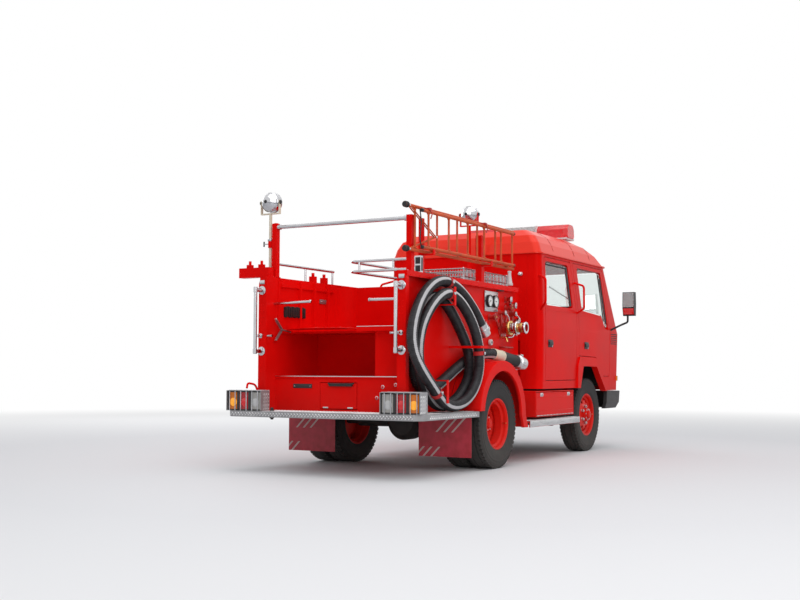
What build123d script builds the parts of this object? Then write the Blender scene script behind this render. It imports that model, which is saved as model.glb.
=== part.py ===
from build123d import *
import math
import os

os.makedirs("parts", exist_ok=True)

# Frame: x forward, y to the vehicle's left, z up, millimetres.
# The origin is on the ground under the middle of the overall length and width.

# Driving sizes
overall_length = 4970
wheelbase = 2500
rear_overhang = 1471
tyre_radius = 387.5
rim_radius = 223
front_tyre_middle = 715
front_tyre_width = 190
twin_outer_middle = 822
twin_inner_middle = 612
twin_tyre_width = 186
kingpin_y = 600
steering_arm = 150
frame_half_width = 360
frame_bottom = 511
frame_top = 660
cab_rear = 1130
cab_bottom = 640
sill_bottom = 677
belt_height = 1446
gutter_height = 2000
roof_height = 2250
cab_wall = 46
door_gap = 6
body_half_width = 717
body_skin = 665
body_rear = -1315
body_front = 990
body_top = 1644
panel_top = 800
deck_top = 1620
step_top = 511
step_thickness = 49
step_half_width = 934
fender_outer = 955
fender_radius = 480
ladder_low, ladder_high = 1815, 2165
hose_radius = 46

rear_axle_x = rear_overhang - overall_length / 2
front_axle_x = rear_axle_x + wheelbase
axle_z = tyre_radius


def ahead(distance):
    """x of a place this far ahead of the rear axle"""
    return rear_axle_x + distance


def block(x0, x1, y0, y1, z0, z1):
    """A plain block between two corners, with x counted from the rear axle"""
    middle = Pos(ahead((x0 + x1) / 2), (y0 + y1) / 2, (z0 + z1) / 2)
    return middle * Box(abs(x1 - x0), abs(y1 - y0), abs(z1 - z0))


def point(x, y, z):
    return Vector(ahead(x), y, z)


def rod(start, end, radius):
    first, last = point(*start), point(*end)
    return Solid.make_cylinder(radius, (last - first).length, Plane(origin=first, z_dir=last - first))


def bent_tube(points, radius, bend):
    path = FilletPolyline(*[point(*p) for p in points], radius=bend)
    return sweep(Plane(origin=path @ 0, z_dir=path % 0) * Circle(radius), path=path)


def side_prism(outline, y0, y1, corner=0):
    """An outline seen from the side (x, z), carried from y0 to y1"""
    face = make_face(Polyline(*[point(x, y0, z) for x, z in outline], close=True)).face()
    if corner:
        face = face.fillet_2d(corner, face.vertices())
    return extrude(face, amount=abs(y1 - y0), dir=(0, math.copysign(1, y1 - y0), 0))


def front_prism(outline, x0, x1, corner=0):
    """An outline seen from behind (y, z), carried from x0 to x1"""
    face = make_face(Polyline(*[point(x0, y, z) for y, z in outline], close=True)).face()
    if corner:
        face = face.fillet_2d(corner, face.vertices())
    return extrude(face, amount=abs(x1 - x0), dir=(math.copysign(1, x1 - x0), 0, 0))


def both_sides(shape):
    return [shape, mirror(shape, Plane.XZ)]


def turned(outline):
    """An outline of (y, radius) points turned about the y axis"""
    return revolve(make_face(Polyline(*[(0, y, r) for y, r in outline], close=True)), Axis.Y)


def at_axle(shape, axle_x):
    return Pos(axle_x, 0, axle_z) * shape


def joined(shapes):
    first, *rest = shapes
    return first.fuse(*rest).clean() if rest else first


def save(shape, node):
    if isinstance(shape, list):
        shape = Compound(children=shape)
    export_step(shape, f"parts/{node}.step")


def save_pair(left, node):
    """The left-hand piece and its mirror image, as two nodes"""
    save(left, f"{node}_left")
    save(mirror(left, Plane.XZ), f"{node}_right")


# Chassis frame: two channel rails and the cross members between their webs
rail_channel = [
    (frame_half_width, frame_bottom),
    (frame_half_width, frame_top),
    (frame_half_width - 60, frame_top),
    (frame_half_width - 60, frame_top - 7),
    (frame_half_width - 7, frame_top - 7),
    (frame_half_width - 7, frame_bottom + 7),
    (frame_half_width - 60, frame_bottom + 7),
    (frame_half_width - 60, frame_bottom),
]
rail = front_prism(rail_channel, -1149, 3360)
cross_members = [
    # place ahead of the rear axle, depth fore and aft
    (-760, 70),
    (-300, 70),
    (240, 70),
    (940, 70),
    (1430, 70),
    (3300, 90),
]
members = [
    block(
        x - depth / 2,
        x + depth / 2,
        -frame_half_width + 7,
        frame_half_width - 7,
        frame_bottom + 7,
        frame_bottom + 80,
    )
    for x, depth in cross_members
]
chassis_frame = joined([rail, mirror(rail, Plane.XZ), *members])
save(chassis_frame, "chassis_frame")

# Engine, gearbox, propeller shaft and exhaust
engine = block(2170, 2960, -255, 255, 470, 985)
gearbox = block(1560, 2170, -150, 150, 420, 505)
gearbox_top = block(1640, 2170, -110, 110, 505, 700)
output_flange = rod((1500, 0, 462), (1560, 0, 462), 60)
shaft = rod((310, 0, 412), (1500, 0, 462), 34)
silencer = rod((1150, -490, 480), (1640, -490, 480), 80)
front_pipe = bent_tube([(1635, -490, 470), (1840, -490, 470), (1840, -215, 470), (2175, -215, 500)], 24, 48)
tail_pipe = bent_tube([(1155, -490, 480), (900, -490, 480), (830, -490, 370)], 24, 50)
save(
    joined([engine, gearbox, gearbox_top, output_flange, shaft, front_pipe, silencer, tail_pipe]),
    "powertrain",
)

# Front axle beam, with an upright boss at each end for the kingpin
beam_half = [
    (0, 322),
    (0, 258),
    (400, 258),
    (530, 345),
    (kingpin_y, 345),
    (kingpin_y, 430),
    (480, 430),
    (370, 322),
]
beam = front_prism(beam_half, 2475, 2525)
boss = Pos(front_axle_x, kingpin_y, 345) * extrude(Circle(34), 85)
kingpin_bore = Pos(front_axle_x, kingpin_y, 340) * extrude(Circle(17.05), 95)
spring_seat = block(2430, 2570, 295, 365, 322, 400)
axle_half = joined([beam, boss, spring_seat]) - kingpin_bore
front_axle = joined(both_sides(axle_half))

# Rear axle: tubes, differential casing and the spindles that carry the hubs
axle_tube = rod((0, -505, axle_z), (0, 505, axle_z), 52)
spindle = rod((0, -772, axle_z), (0, 772, axle_z), 33)
casing = rod((-120, 0, axle_z), (110, 0, axle_z), 165)
casing = chamfer(casing.edges(), 45)
pinion_nose = Solid.make_cone(95, 55, 200, Plane(origin=point(108, 0, axle_z + 8), z_dir=(1, 0, 0.06)))
spring_pads = [block(-60, 60, y - 38, y + 38, axle_z + 30, 456) for y in (420, -420)]
rear_axle = joined([axle_tube, spindle, casing, pinion_nose, *spring_pads])
save([front_axle, rear_axle], "axles")


# Leaf springs: each leaf is a strip between two arcs, shorter ones below
def leaf_pack(x_middle, y_middle, z_middle, half_length, rise, leaves):
    strips = []
    for i in range(leaves):
        reach = half_length * (1 - 0.22 * i)
        lift = rise * (reach / half_length) ** 2
        low = z_middle - 11 * (i + 1)
        bottom = ThreePointArc(
            point(x_middle - reach, y_middle, low + lift),
            point(x_middle, y_middle, low),
            point(x_middle + reach, y_middle, low + lift),
        )
        top = Pos(0, 0, 11) * bottom
        sides = [Line(bottom @ 0, top @ 0), Line(bottom @ 1, top @ 1)]
        strip = extrude(make_face([bottom, top, *sides]), amount=30, dir=(0, 1, 0), both=True)
        strips.append(strip)
    eye_z = z_middle + rise - 4
    eyes = [
        rod((x, y_middle - 32, eye_z), (x, y_middle + 32, eye_z), 17)
        for x in (x_middle - half_length, x_middle + half_length)
    ]
    clamp = block(
        x_middle - 55,
        x_middle + 55,
        y_middle - 36,
        y_middle + 36,
        z_middle - 11 * leaves,
        z_middle + 14,
    )
    return joined([*strips, *eyes, clamp])


springs = [leaf_pack(2500, s * 330, 444, 560, 50, 4) for s in (-1, 1)]
springs += [leaf_pack(0, s * 420, 500, 590, 34, 4) for s in (-1, 1)]
save(springs, "leaf_springs")

# Wheels. Tyre outlines are (offset from the tyre's middle, radius)
def tyre(middle, width):
    half = width / 2
    upper = [
        (0.66 * half, 212.2),
        (0.92 * half, 250),
        (half, 305),
        (0.93 * half, 352),
        (0.78 * half, 380),
        (0.5 * half, tyre_radius),
    ]
    outline = [(y, r) for y, r in upper] + [(-y, r) for y, r in reversed(upper)]
    return turned([(middle + y, r) for y, r in outline])


def rim_barrel(middle):
    """The rolled band that holds the beads, with a flange each side"""
    outer = [
        (-80, rim_radius),
        (-72, rim_radius),
        (-66, 211.5),
        (-40, 208),
        (-28, 190),
        (28, 190),
        (40, 208),
        (66, 211.5),
        (72, rim_radius),
        (80, rim_radius),
    ]
    inner = [(80, 214), (66, 203), (44, 200), (32, 182), (-32, 182), (-44, 200), (-66, 203), (-80, 214)]
    return turned([(middle + y, r) for y, r in outer + inner])


def round_row(y0, y1, pitch_radius, radius, count):
    """Cylinders along y on a circle, for hand holes and wheel nuts"""
    row = []
    for i in range(count):
        angle = math.radians(360 / count * (i + 0.5))
        x, z = pitch_radius * math.cos(angle), pitch_radius * math.sin(angle)
        row.append(Solid.make_cylinder(radius, y1 - y0, Plane(origin=(x, y0, z), z_dir=(0, 1, 0))))
    return row


front_disc = turned(
    [(700, 186), (712, 186), (762, 150), (770, 120), (770, 62), (762, 62), (762, 118), (754, 144), (700, 176)]
)
front_hub = turned(
    [(664, 33.06), (664, 95), (762, 95), (762, 72), (800, 66), (812, 52), (812, 0), (799, 0), (799, 33.06)]
)
front_barrel = rim_barrel(front_tyre_middle)
front_disc = front_disc - round_row(690, 800, 148, 23, 8)
front_rim = joined([front_barrel, front_disc, front_hub, *round_row(766, 784, 88, 13, 6)])
rear_outer_disc = turned(
    [
        (756, 206),
        (768, 206),
        (768, 186),
        (752, 166),
        (727, 130),
        (727, 62),
        (717, 62),
        (717, 132),
        (742, 172),
        (756, 190),
    ],
)
rear_inner_disc = mirror(rear_outer_disc, Plane(origin=(0, 717, 0), z_dir=(0, 1, 0)))
rear_hub = turned(
    [
        (640, 33.06),
        (640, 140),
        (705, 140),
        (705, 80),
        (727, 80),
        (727, 78),
        (800, 70),
        (814, 55),
        (814, 0),
        (774, 0),
        (774, 33.06),
    ],
)
rear_barrels = [rim_barrel(twin_outer_middle), rim_barrel(twin_inner_middle)]
discs = [d - round_row(650, 790, 150, 21, 8) for d in (rear_outer_disc, rear_inner_disc)]
rear_rims = joined([*rear_barrels, *discs, rear_hub, *round_row(725, 746, 104, 13, 6)])
front_tyre = tyre(front_tyre_middle, front_tyre_width)
rear_tyres = [tyre(twin_outer_middle, twin_tyre_width), tyre(twin_inner_middle, twin_tyre_width)]
save_pair(at_axle(front_tyre, front_axle_x), "front_tyre")
save_pair(at_axle(front_rim, front_axle_x), "front_rim")
save_pair(Compound(children=[at_axle(t, rear_axle_x) for t in rear_tyres]), "rear_tyres")
save_pair(at_axle(rear_rims, rear_axle_x), "rear_rims")

# Steering knuckle: a fork round the beam's boss, the kingpin, the spindle and the steering arm
tie_rod_z = 330
fork_top = Pos(front_axle_x, kingpin_y, 431) * extrude(Circle(36), 26)
fork_bottom = Pos(front_axle_x, kingpin_y, 318) * extrude(Circle(36), 26)
fork_back = block(2462, 2538, kingpin_y + 38, kingpin_y + 60, 318, 457)
fork_links = [block(2466, 2534, kingpin_y, kingpin_y + 60, z, z + 26) for z in (318, 431)]
kingpin = Pos(front_axle_x, kingpin_y, 318) * extrude(Circle(17), 139)
stub = rod((2500, kingpin_y + 58, axle_z), (2500, 797, axle_z), 33)
arm = block(wheelbase - steering_arm, 2480, kingpin_y - 15, kingpin_y + 15, tie_rod_z - 12, tie_rod_z + 8)
arm_eye = Pos(ahead(wheelbase - steering_arm), kingpin_y, tie_rod_z - 12) * extrude(Circle(18), 20)
arm_pin = Pos(ahead(wheelbase - steering_arm), kingpin_y, tie_rod_z - 12) * extrude(Circle(8), 52)
knuckle = joined([fork_top, fork_bottom, fork_back, *fork_links, kingpin, stub, arm, arm_eye])
knuckle_right = joined([mirror(knuckle, Plane.XZ), mirror(arm_pin, Plane.XZ)])
save(knuckle, "knuckle_left")
save(knuckle_right, "knuckle_right")

# Track rod between the arms: a bored eye on the right pin, a plain cup over the left arm
eye_low, eye_high = tie_rod_z + 10, tie_rod_z + 34
rod_eyes = [
    Pos(ahead(wheelbase - steering_arm), s * kingpin_y, eye_low) * extrude(Circle(18), eye_high - eye_low)
    for s in (-1, 1)
]
rod_bar = rod(
    (wheelbase - steering_arm, -kingpin_y + 12, eye_low + 12),
    (wheelbase - steering_arm, kingpin_y - 12, eye_low + 12),
    13,
)
pin_bore = Pos(ahead(wheelbase - steering_arm), -kingpin_y, eye_low - 5) * extrude(Circle(8.06), 60)
save(joined([*rod_eyes, rod_bar]) - pin_bore, "track_rod")

# Fuel tank on the left, between the frame and the locker
fuel_tank = front_prism([(360, 420), (360, 640), (600, 640), (600, 420)], 965, 1895, corner=30)
save(fuel_tank, "fuel_tank")


# Cab hull: plan outlines at a few heights, joined by ruled faces
def plan_outline(z, half_width, rear, front, bow, rear_corner, front_corner):
    start, end = point(rear, -half_width, z), point(front, -half_width, z)
    far, back = point(front, half_width, z), point(rear, half_width, z)
    nose = ThreePointArc(end, point(front + bow, 0, z), far)
    face = make_face([Line(start, end), nose, Line(far, back), Line(back, start)]).face()
    for limit, radius in ((-1, rear_corner), (1, front_corner)):
        middle_x = ahead((rear + front) / 2)
        corners = [v for v in face.vertices() if (v.X - middle_x) * limit > 0.3 * (front - rear)]
        corners = [v for v in corners if abs(abs(v.Y) - half_width) < 0.5]
        face = face.fillet_2d(radius, corners)
    return face


cab_sections = [
    # height, half width, rear, front at the corner, bow, rear corner, front corner
    (cab_bottom, 838, cab_rear, 3398, 45, 64, 75),
    (1270, 850, cab_rear, 3425, 50, 64, 75),
    (gutter_height, 828, cab_rear, 3100, 60, 64, 200),
]


def cab_hull(inset):
    faces = [
        plan_outline(z, w - inset, rear + inset, front - inset, bow, rc - inset, fc - inset)
        for z, w, rear, front, bow, rc, fc in cab_sections
    ]
    return loft(faces, ruled=True)


hull = cab_hull(0)
hull_inside = cab_hull(cab_wall)
glass_outside = cab_hull(9)
glass_inside = cab_hull(15)
shell = hull - hull_inside
glass_skin = glass_outside - glass_inside

# Outlines seen from the side, x ahead of the rear axle and z
rear_door_outline = [
    (1245, 762),
    (2050, 762),
    (2085, 800),
    (2085, 1460),
    (1950, 1970),
    (1262, 1970),
    (1245, 1940),
]
front_door_outline = [
    (2155, 1014),
    (2155, 1460),
    (2022, 1970),
    (2905, 1970),
    (3105, 1315),
    (3105, 800),
    (2872, 800),
    (2835, 857),
    (2665, 1004),
]
rear_window_outline = [(1290, 1512), (1290, 1920), (1868, 1920), (1975, 1512)]
front_window_outline = [(2262, 1502), (2150, 1920), (2850, 1918), (3052, 1318), (2960, 1340), (2860, 1470)]
arch_outline = [(2161, 590), (2161, 675), (2254, 905), (2655, 900), (2940, 634), (2940, 590)]
flare_outline = [
    (2085, 677),
    (2095, 900),
    (2150, 998),
    (2657, 985),
    (2815, 845),
    (2975, 640),
    (2940, 634),
    (2655, 900),
    (2254, 905),
    (2161, 675),
]
windshield_outline = [(-745, 1372), (745, 1372), (705, 1948), (-705, 1948)]


def grown(outline, amount):
    """The outline with each side moved outwards (inwards if negative) by the amount"""
    count = len(outline)
    area = sum(outline[i - 1][0] * outline[i][1] - outline[i][0] * outline[i - 1][1] for i in range(count))
    outward = math.copysign(amount, area)
    moved = []
    for i in range(count):
        before, here, after = outline[i - 1], outline[i], outline[(i + 1) % count]
        a = Vector(here[0] - before[0], here[1] - before[1]).normalized()
        b = Vector(after[0] - here[0], after[1] - here[1]).normalized()
        share = outward / (1 + a.dot(b))
        moved.append((here[0] + (a.Y + b.Y) * share, here[1] - (a.X + b.X) * share))
    return moved


def side_hole(outline, corner):
    return side_prism(outline, -980, -600, corner)


# Right-hand door shapes; the left ones are their mirror images
def door_pair(outline, window, handle_x):
    blank = shell & side_prism(outline, -980, -600, 22)
    opening = side_hole(window, 40)
    rebate = opening - glass_inside
    sight = side_hole(grown(window, -14), 30)
    creases = [block(1100, 3300, -900, -846.5, z - 3, z + 3) for z in (1085, 792)]
    belt = block(1100, 3300, -900, -842, belt_height - 3, belt_height + 3)
    handle_cup = rod((handle_x, -900, 1122), (handle_x, -835, 1122), 33)
    door = blank - rebate - sight - creases - belt - handle_cup
    pane = glass_skin & opening
    return door, pane


rear_door, rear_pane = door_pair(rear_door_outline, rear_window_outline, 1345)
front_door, front_pane = door_pair(front_door_outline, front_window_outline, 2352)
for name, door, pane in (("rear", rear_door, rear_pane), ("front", front_door, front_pane)):
    save_pair(mirror(door, Plane.XZ), f"door_{name}")
    save_pair(mirror(pane, Plane.XZ), f"glass_{name}")

# Cab sides: pillars, sill and cant rail round the doors, with the wheel arch flare
door_holes = [side_prism(grown(o, door_gap), -980, -600, 26) for o in (rear_door_outline, front_door_outline)]
arch_hole = side_prism(arch_outline, -980, -600)
side_region = side_prism(
    [
        (1100, sill_bottom),
        (2161, sill_bottom),
        (2161, 600),
        (3117, 600),
        (3117, 1322),
        (2911, 2010),
        (1100, 2010),
    ], -980, -700
)
flare = side_prism(flare_outline, -860, -806)
cab_side = (shell & side_region) - door_holes - arch_hole
cab_side = joined([cab_side, flare - door_holes])
# Red grab handles on the pillars behind each door
handle_paths = [
    [(1172, -796, 1792), (1062, -922, 1742), (1062, -922, 1512), (1176, -818, 1440)],
    [(2046, -816, 1772), (2098, -925, 1738), (2098, -925, 1500), (2120, -830, 1448)],
]
grab_handles = [bent_tube(path, 11, 38) - hull for path in handle_paths]
cab_side = joined([cab_side, *grab_handles])
save(both_sides(cab_side), "cab_sides")

# Cab front: nose panel, windscreen pillars and header in one pressing
front_region = side_prism([(3118, 600), (3118, 1322), (2912, 2010), (3600, 2010), (3600, 600)], -980, 980)
screen_hole = front_prism(windshield_outline, 2900, 3600, 60)
screen_sight = front_prism(grown(windshield_outline, -16), 2900, 3600, 48)
lamp_holes = [
    front_prism([(s * 520, 815), (s * 770, 815), (s * 770, 985), (s * 520, 985)], 3300, 3600, 20)
    for s in (-1, 1)
]
grille_hole = front_prism([(-440, 835), (440, 835), (440, 965), (-440, 965)], 3440, 3600, 15)
cab_front = (shell & front_region) - (screen_hole - glass_inside) - screen_sight - lamp_holes - grille_hole
save(cab_front, "cab_front")
save(glass_skin & screen_hole, "windshield")

# Headlamps: a block that fills each opening, proud of a black bezel
lamps = []
for s in (-1, 1):
    fill = front_prism([(s * 522, 817), (s * 768, 817), (s * 768, 983), (s * 522, 983)], 3300, 3600, 18)
    lamps.append(fill & (cab_hull(6) - cab_hull(cab_wall + 8)))

# Corner indicators: amber blocks that wrap the nose corners
for s in (-1, 1):
    corner = block(3330, 3470, s * 700, s * 870, 745, 800)
    lamps.append(corner & (cab_hull(-14) - hull))
save(lamps, "front_lamps")

# Cab back: upper wall, with the lower middle set forward over the chassis
back_wall = shell & block(1100, 1200, -699, 699, sill_bottom, gutter_height)
recess = block(1100, 1300, -620, 620, 600, 1150)
back_wall = back_wall - recess
recess_back = block(1290, 1310, -640, 640, sill_bottom, 1172)
recess_roof = block(cab_rear + 4, 1310, -640, 640, 1150, 1172)
recess_sides = [block(cab_rear + 4, 1310, s * 620, s * 640, sill_bottom, 1172) for s in (-1, 1)]
save(joined([back_wall, recess_back, recess_roof, *recess_sides]), "cab_back")

# Cab floor: rear foot well, wheel boxes under the front seats, engine cover and front foot well
floor_plates = [
    block(1311, 2160, -780, 780, 700, 730),
    block(2130, 2160, -780, 780, 700, 945),
    block(2160, 3000, -780, 780, 915, 945),
    block(2970, 3000, -780, 780, 690, 945),
    block(2970, 3110, -780, 780, 690, 715),
    block(3110, 3345, -700, 700, 690, 715),
    block(2130, 3300, -310, -280, 690, 1040),
    block(2130, 3300, 280, 310, 690, 1040),
    block(2130, 3300, -310, 310, 1012, 1040),
    block(2160, 2970, -470, -450, 690, 915),
    block(2160, 2970, 450, 470, 690, 915),
    block(2160, 2970, -450, -310, 690, 705),
    block(2160, 2970, 310, 450, 690, 705),
]
engine_bay = block(2161, 3290, -279, 279, 600, 1011)
cab_floor = joined(floor_plates) - engine_bay

# Roof cap: plan outlines that step in towards the crown, and a gutter round its foot
roof_sections = [
    # height, half width, rear, front at the corner, bow, rear corner, front corner
    (gutter_height, 834, 1124, 3106, 60, 70, 205),
    (2110, 798, 1142, 2900, 70, 64, 190),
    (2185, 750, 1168, 2660, 80, 60, 170),
    (roof_height, 640, 1250, 2420, 80, 54, 150),
]
roof_wall = 35
roof_drop = (0, 18, 26, 32)
roof_outside = loft([plan_outline(*row) for row in roof_sections], ruled=True)
roof_inside = loft(
    [
        plan_outline(
            z - drop,
            w - roof_wall,
            rear + roof_wall,
            front - roof_wall,
            bow,
            rc - roof_wall,
            fc - roof_wall,
        )
        for (z, w, rear, front, bow, rc, fc), drop in zip(roof_sections, roof_drop)
    ],
    ruled=True,
)
gutter_plate = extrude(plan_outline(gutter_height, 848, 1112, 3120, 60, 82, 218), 12)
gutter_hole = extrude(plan_outline(gutter_height, 828 - cab_wall, 1176, 3054, 60, 40, 154), 12)
cab_roof = joined([roof_outside - roof_inside, gutter_plate - gutter_hole])
save(cab_roof, "cab_roof")

# Front seats, rear bench and what carries them
front_seats = [
    # middle, half width
    (-545, 215),
    (0, 190),
    (545, 215),
]
plinths = [
    block(1330, 1790, -700, 700, 730, 1010),
    *[block(2200, 2660, y - 190, y + 190, 945, 985) for y in (-545, 545)],
]
save(joined([cab_floor, *plinths]), "cab_floor")
cushions = [block(1335, 1800, -715, 715, 1011, 1120), block(1200, 1325, -715, 715, 1180, 1640)]
for y, half in front_seats:
    low = 1042 if y == 0 else 986
    cushions.append(block(2215, 2680, y - half, y + half, low, low + 105))
    cushions.append(block(2170, 2212, y - half, y + half, low + 20, low + 560))
save(cushions, "seat_cushions")

# Dashboard with the steering column, and the steering wheel that turns on it
wheel_centre = (2800, -480, 1400)
column_lean = 0.48
dash_outline = [
    (3100, 1120),
    (3085, 1180),
    (3110, 1290),
    (3230, 1345),
    (3345, 1345),
    (3345, 1041),
    (3200, 1041),
]
dash = side_prism(dash_outline, -760, 760)
column_axis = Vector(-math.sin(column_lean), 0, math.cos(column_lean))
column_top = point(*wheel_centre) - column_axis * 40
column = Solid.make_cylinder(28, 420, Plane(origin=column_top - column_axis * 420, z_dir=column_axis))
save(joined([dash, column, block(2985, 3120, -500, -460, 1041, 1140)]), "dashboard")
wheel_plane = Plane(origin=point(*wheel_centre), z_dir=column_axis)
rim_ring = wheel_plane * Torus(200, 14)
wheel_hub = Solid.make_cylinder(
    46,
    38,
    Plane(origin=point(*wheel_centre) - column_axis * 36, z_dir=column_axis),
)
spokes = [wheel_plane * Rot(0, 0, a) * Pos(110, 0, -6) * Box(185, 26, 12) for a in (0, 125, 235)]
save(joined([rim_ring, wheel_hub, *spokes]), "steering_wheel")

# Front bumper, wrapped round to the wheel arches, on two brackets
bumper_sections = [
    (440, 832, 2600, 3392, 36, 20, 70),
    (505, 856, 2600, 3444, 42, 20, 80),
    (632, 862, 2600, 3455, 44, 20, 80),
]
bumper_skin = 40


def bumper_solid(inset):
    return loft(
        [
            plan_outline(z, w - inset, rear, front - inset, bow, rc, fc - 0.9 * inset)
            for z, w, rear, front, bow, rc, fc in bumper_sections
        ],
        ruled=True,
    )


bumper = (bumper_solid(0) - bumper_solid(bumper_skin)) & block(2972, 3600, -900, 900, 400, 700)
bumper_brackets = [block(3360, 3445, s * 290, s * 350, 520, 620) for s in (-1, 1)]
save(joined([bumper, *bumper_brackets]), "bumper")

# Lockers under the cab, each with a front flap hinged at its foot, and the step below
locker_x = (936, 1932)
locker_y = (620, 866)
locker_z = (412, 658)
flap_thickness = 16
locker = block(*locker_x, *locker_y, *locker_z) - block(
    locker_x[0] + 8, locker_x[1] - 8, locker_y[0] + 8, locker_y[1] + 10, locker_z[0] + 8, locker_z[1] - 8
)
locker_hangers = [block(x, x + 20, frame_half_width, locker_y[0], 600, 640) for x in (940, 1905)]
locker = joined([locker, *locker_hangers])
flap = block(
    locker_x[0] + 14,
    locker_x[1] - 14,
    locker_y[1] - flap_thickness,
    locker_y[1],
    locker_z[0] + 15,
    locker_z[1] - 14,
)
save_pair(flap, "locker_flap")
step_plate = block(715, 2000, 640, 904, 372, 386)
step_edge = block(715, 2000, 892, 904, 326, 372)
step_back = block(715, 2000, 640, 652, 340, 372)
step_hangers = [block(x, x + 50, frame_half_width - 30, 652, 340, 372) for x in (760, 1700)]
step_drops = [
    block(x, x + 50, frame_half_width - 60, frame_half_width, 340, frame_bottom) for x in (760, 1700)
]
side_step = joined([step_plate, step_edge, step_back, *step_hangers, *step_drops])
save([*both_sides(locker), *both_sides(side_step)], "lockers_and_steps")

# Mirrors on bent arms from the windscreen pillars, wider than anything else on the vehicle
mirror_arm = bent_tube(
    [(3140, -822, 1300), (3190, -960, 1372), (3200, -1030, 1400), (3200, -1030, 1680)],
    11,
    30,
)
mirror_foot = block(3125, 3165, -845, -800, 1280, 1320)
mirror_case = side_prism(
    [(3172, 1470), (3150, 1560), (3160, 1735), (3218, 1735), (3226, 1600), (3214, 1470)],
    -1120,
    -985,
)
save(both_sides(joined([mirror_arm, mirror_foot, mirror_case]) - hull), "mirrors")

# Light bar across the roof: a base on two feet, red lenses and the ribbed horn box in the middle
bar_x = 2560
bar_half = 600
bar_low, bar_high = 2300, 2450
bar_base = block(bar_x - 105, bar_x + 105, -bar_half, bar_half, bar_low - 18, bar_low)
bar_feet = [block(bar_x - 140, bar_x + 60, s * 470, s * 520, 2150, bar_low - 18) for s in (-1, 1)]
bar_feet = [f - roof_outside for f in bar_feet]
bar_outline = [
    (bar_x - 100, bar_low),
    (bar_x - 96, bar_high - 50),
    (bar_x - 60, bar_high),
    (bar_x + 60, bar_high),
    (bar_x + 96, bar_high - 50),
    (bar_x + 100, bar_low),
]
save([side_prism(bar_outline, s * 235, s * bar_half) for s in (-1, 1)], "light_bar_lenses")
bar_horn = side_prism(bar_outline, -234, 234)
save(joined([bar_base, *bar_feet, bar_horn]), "light_bar")

# Body sides: recessed skin, a rolled lip along the top and a pillar with a rounded head at the rear
arch_centre = (20, 460)
arch_cut = Pos(ahead(arch_centre[0]), 0, arch_centre[1]) * Rot(90, 0, 0) * Cylinder(fender_radius, 2400)
pillar_width = 80
side_skin = block(-1280, body_front, body_skin - 20, body_skin, step_top, deck_top)
skin_foot = block(450, body_front, body_skin - 20, body_skin, step_top, frame_top + 20)
top_lip = block(-1300, 884, body_skin - 20, body_half_width, body_top - 44, body_top)
rear_pillar = front_prism(
    [
        (body_half_width - pillar_width, step_top),
        (body_half_width - pillar_width, body_top),
        (body_half_width, body_top),
        (body_half_width, step_top),
    ],
    body_rear,
    -1150,
)
outer_head = rear_pillar.edges().filter_by(Axis.X).sort_by(lambda e: e.center().Z + e.center().Y)[-1]
rear_pillar = fillet(outer_head, 70) - block(-1262, -1100, body_skin, body_half_width + 5, 500, body_top - 44)
side_panel = joined([side_skin - skin_foot, top_lip, rear_pillar]) - arch_cut

# Body tub: floor, front wall, deck, wheel boxes and the locker walls seen from behind
inner_y = body_skin - 20
opening_y = body_half_width - pillar_width
tub_plates = [
    block(-520, body_front - 1, -500, 500, frame_top + 1, frame_top + 15),
    block(body_front - 15, body_front, -inner_y, inner_y, frame_top + 1, deck_top),
    block(-90, body_front, -inner_y, inner_y, deck_top - 14, deck_top),
    block(-520, -506, -inner_y, inner_y, frame_top + 1, 1168),
    block(-1150, -506, -inner_y, inner_y, panel_top - 14, panel_top),
    block(-1150, -506, -354, -340, panel_top, 1168),
    block(-1150, -1136, -opening_y, -340, panel_top, 1168),
    block(-520, 530, 486, 500, frame_top + 1, 970),
    block(-520, 530, -500, -486, frame_top + 1, 970),
    block(-520, 530, 486, inner_y, 956, 970),
    block(-520, 530, -inner_y, -486, 956, 970),
]

# Hose bed: a floor and a wall that curves round the front corners, with ribs on the left
bed_x0, bed_x1 = -1149, -92
bed_y = inner_y
bed_outline = FilletPolyline(
    point(bed_x0, bed_y, 1168), point(bed_x1, bed_y, 1168), point(
        bed_x1,
        -bed_y,
        1168,
    ), point(bed_x0, -bed_y, 1168), radius=160
)
bed_inner = FilletPolyline(
    point(bed_x0, bed_y - 14, 1168), point(bed_x1 - 14, bed_y - 14, 1168), point(
        bed_x1 - 14,
        -bed_y + 14,
        1168,
    ), point(bed_x0, -bed_y + 14, 1168), radius=146
)
bed_ends = [Line(bed_outline @ 0, bed_inner @ 0), Line(bed_outline @ 1, bed_inner @ 1)]
bed_wall = extrude(make_face([bed_outline, bed_inner, *bed_ends]), amount=deck_top - 1168, dir=(0, 0, 1))
bed_closing = Line(bed_outline @ 1, bed_outline @ 0)
bed_floor = extrude(
    make_face([bed_outline, bed_closing]),
    amount=17,
    dir=(0, 0, 1),
) & block(-950, 0, -bed_y, bed_y, 1100, 1300)
bed_ribs = [block(x, x + 24, bed_y - 44, bed_y - 14, 1185, deck_top) for x in (-860, -640, -420)]
bed_rail = block(-1120, -300, bed_y - 34, bed_y - 14, deck_top - 55, deck_top - 25)
right_ledge = block(-1250, -950, -opening_y, -222, 1168, 1204)
save(joined([*tub_plates, bed_wall, bed_floor, *bed_ribs, bed_rail, right_ledge]), "body_tub")

# Folding shelf at the left rear, a pressed tray hinged along its front edge
shelf_outline = [(-1290, -55), (-1290, 235), (-1075, 598), (-957, 598), (-957, -55)]


def shelf_plate(inset, z0, z1):
    """The shelf's outline between two heights, drawn in by the inset"""
    corners = [point(x, y, z0) for x, y in grown(shelf_outline, -inset)]
    return extrude(make_face(Polyline(*corners, close=True)), amount=z1 - z0, dir=(0, 0, 1))


shelf_tray = shelf_plate(0, 1172, 1204) - shelf_plate(10, 1160, 1196)
save(shelf_tray, "folding_shelf")

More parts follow.
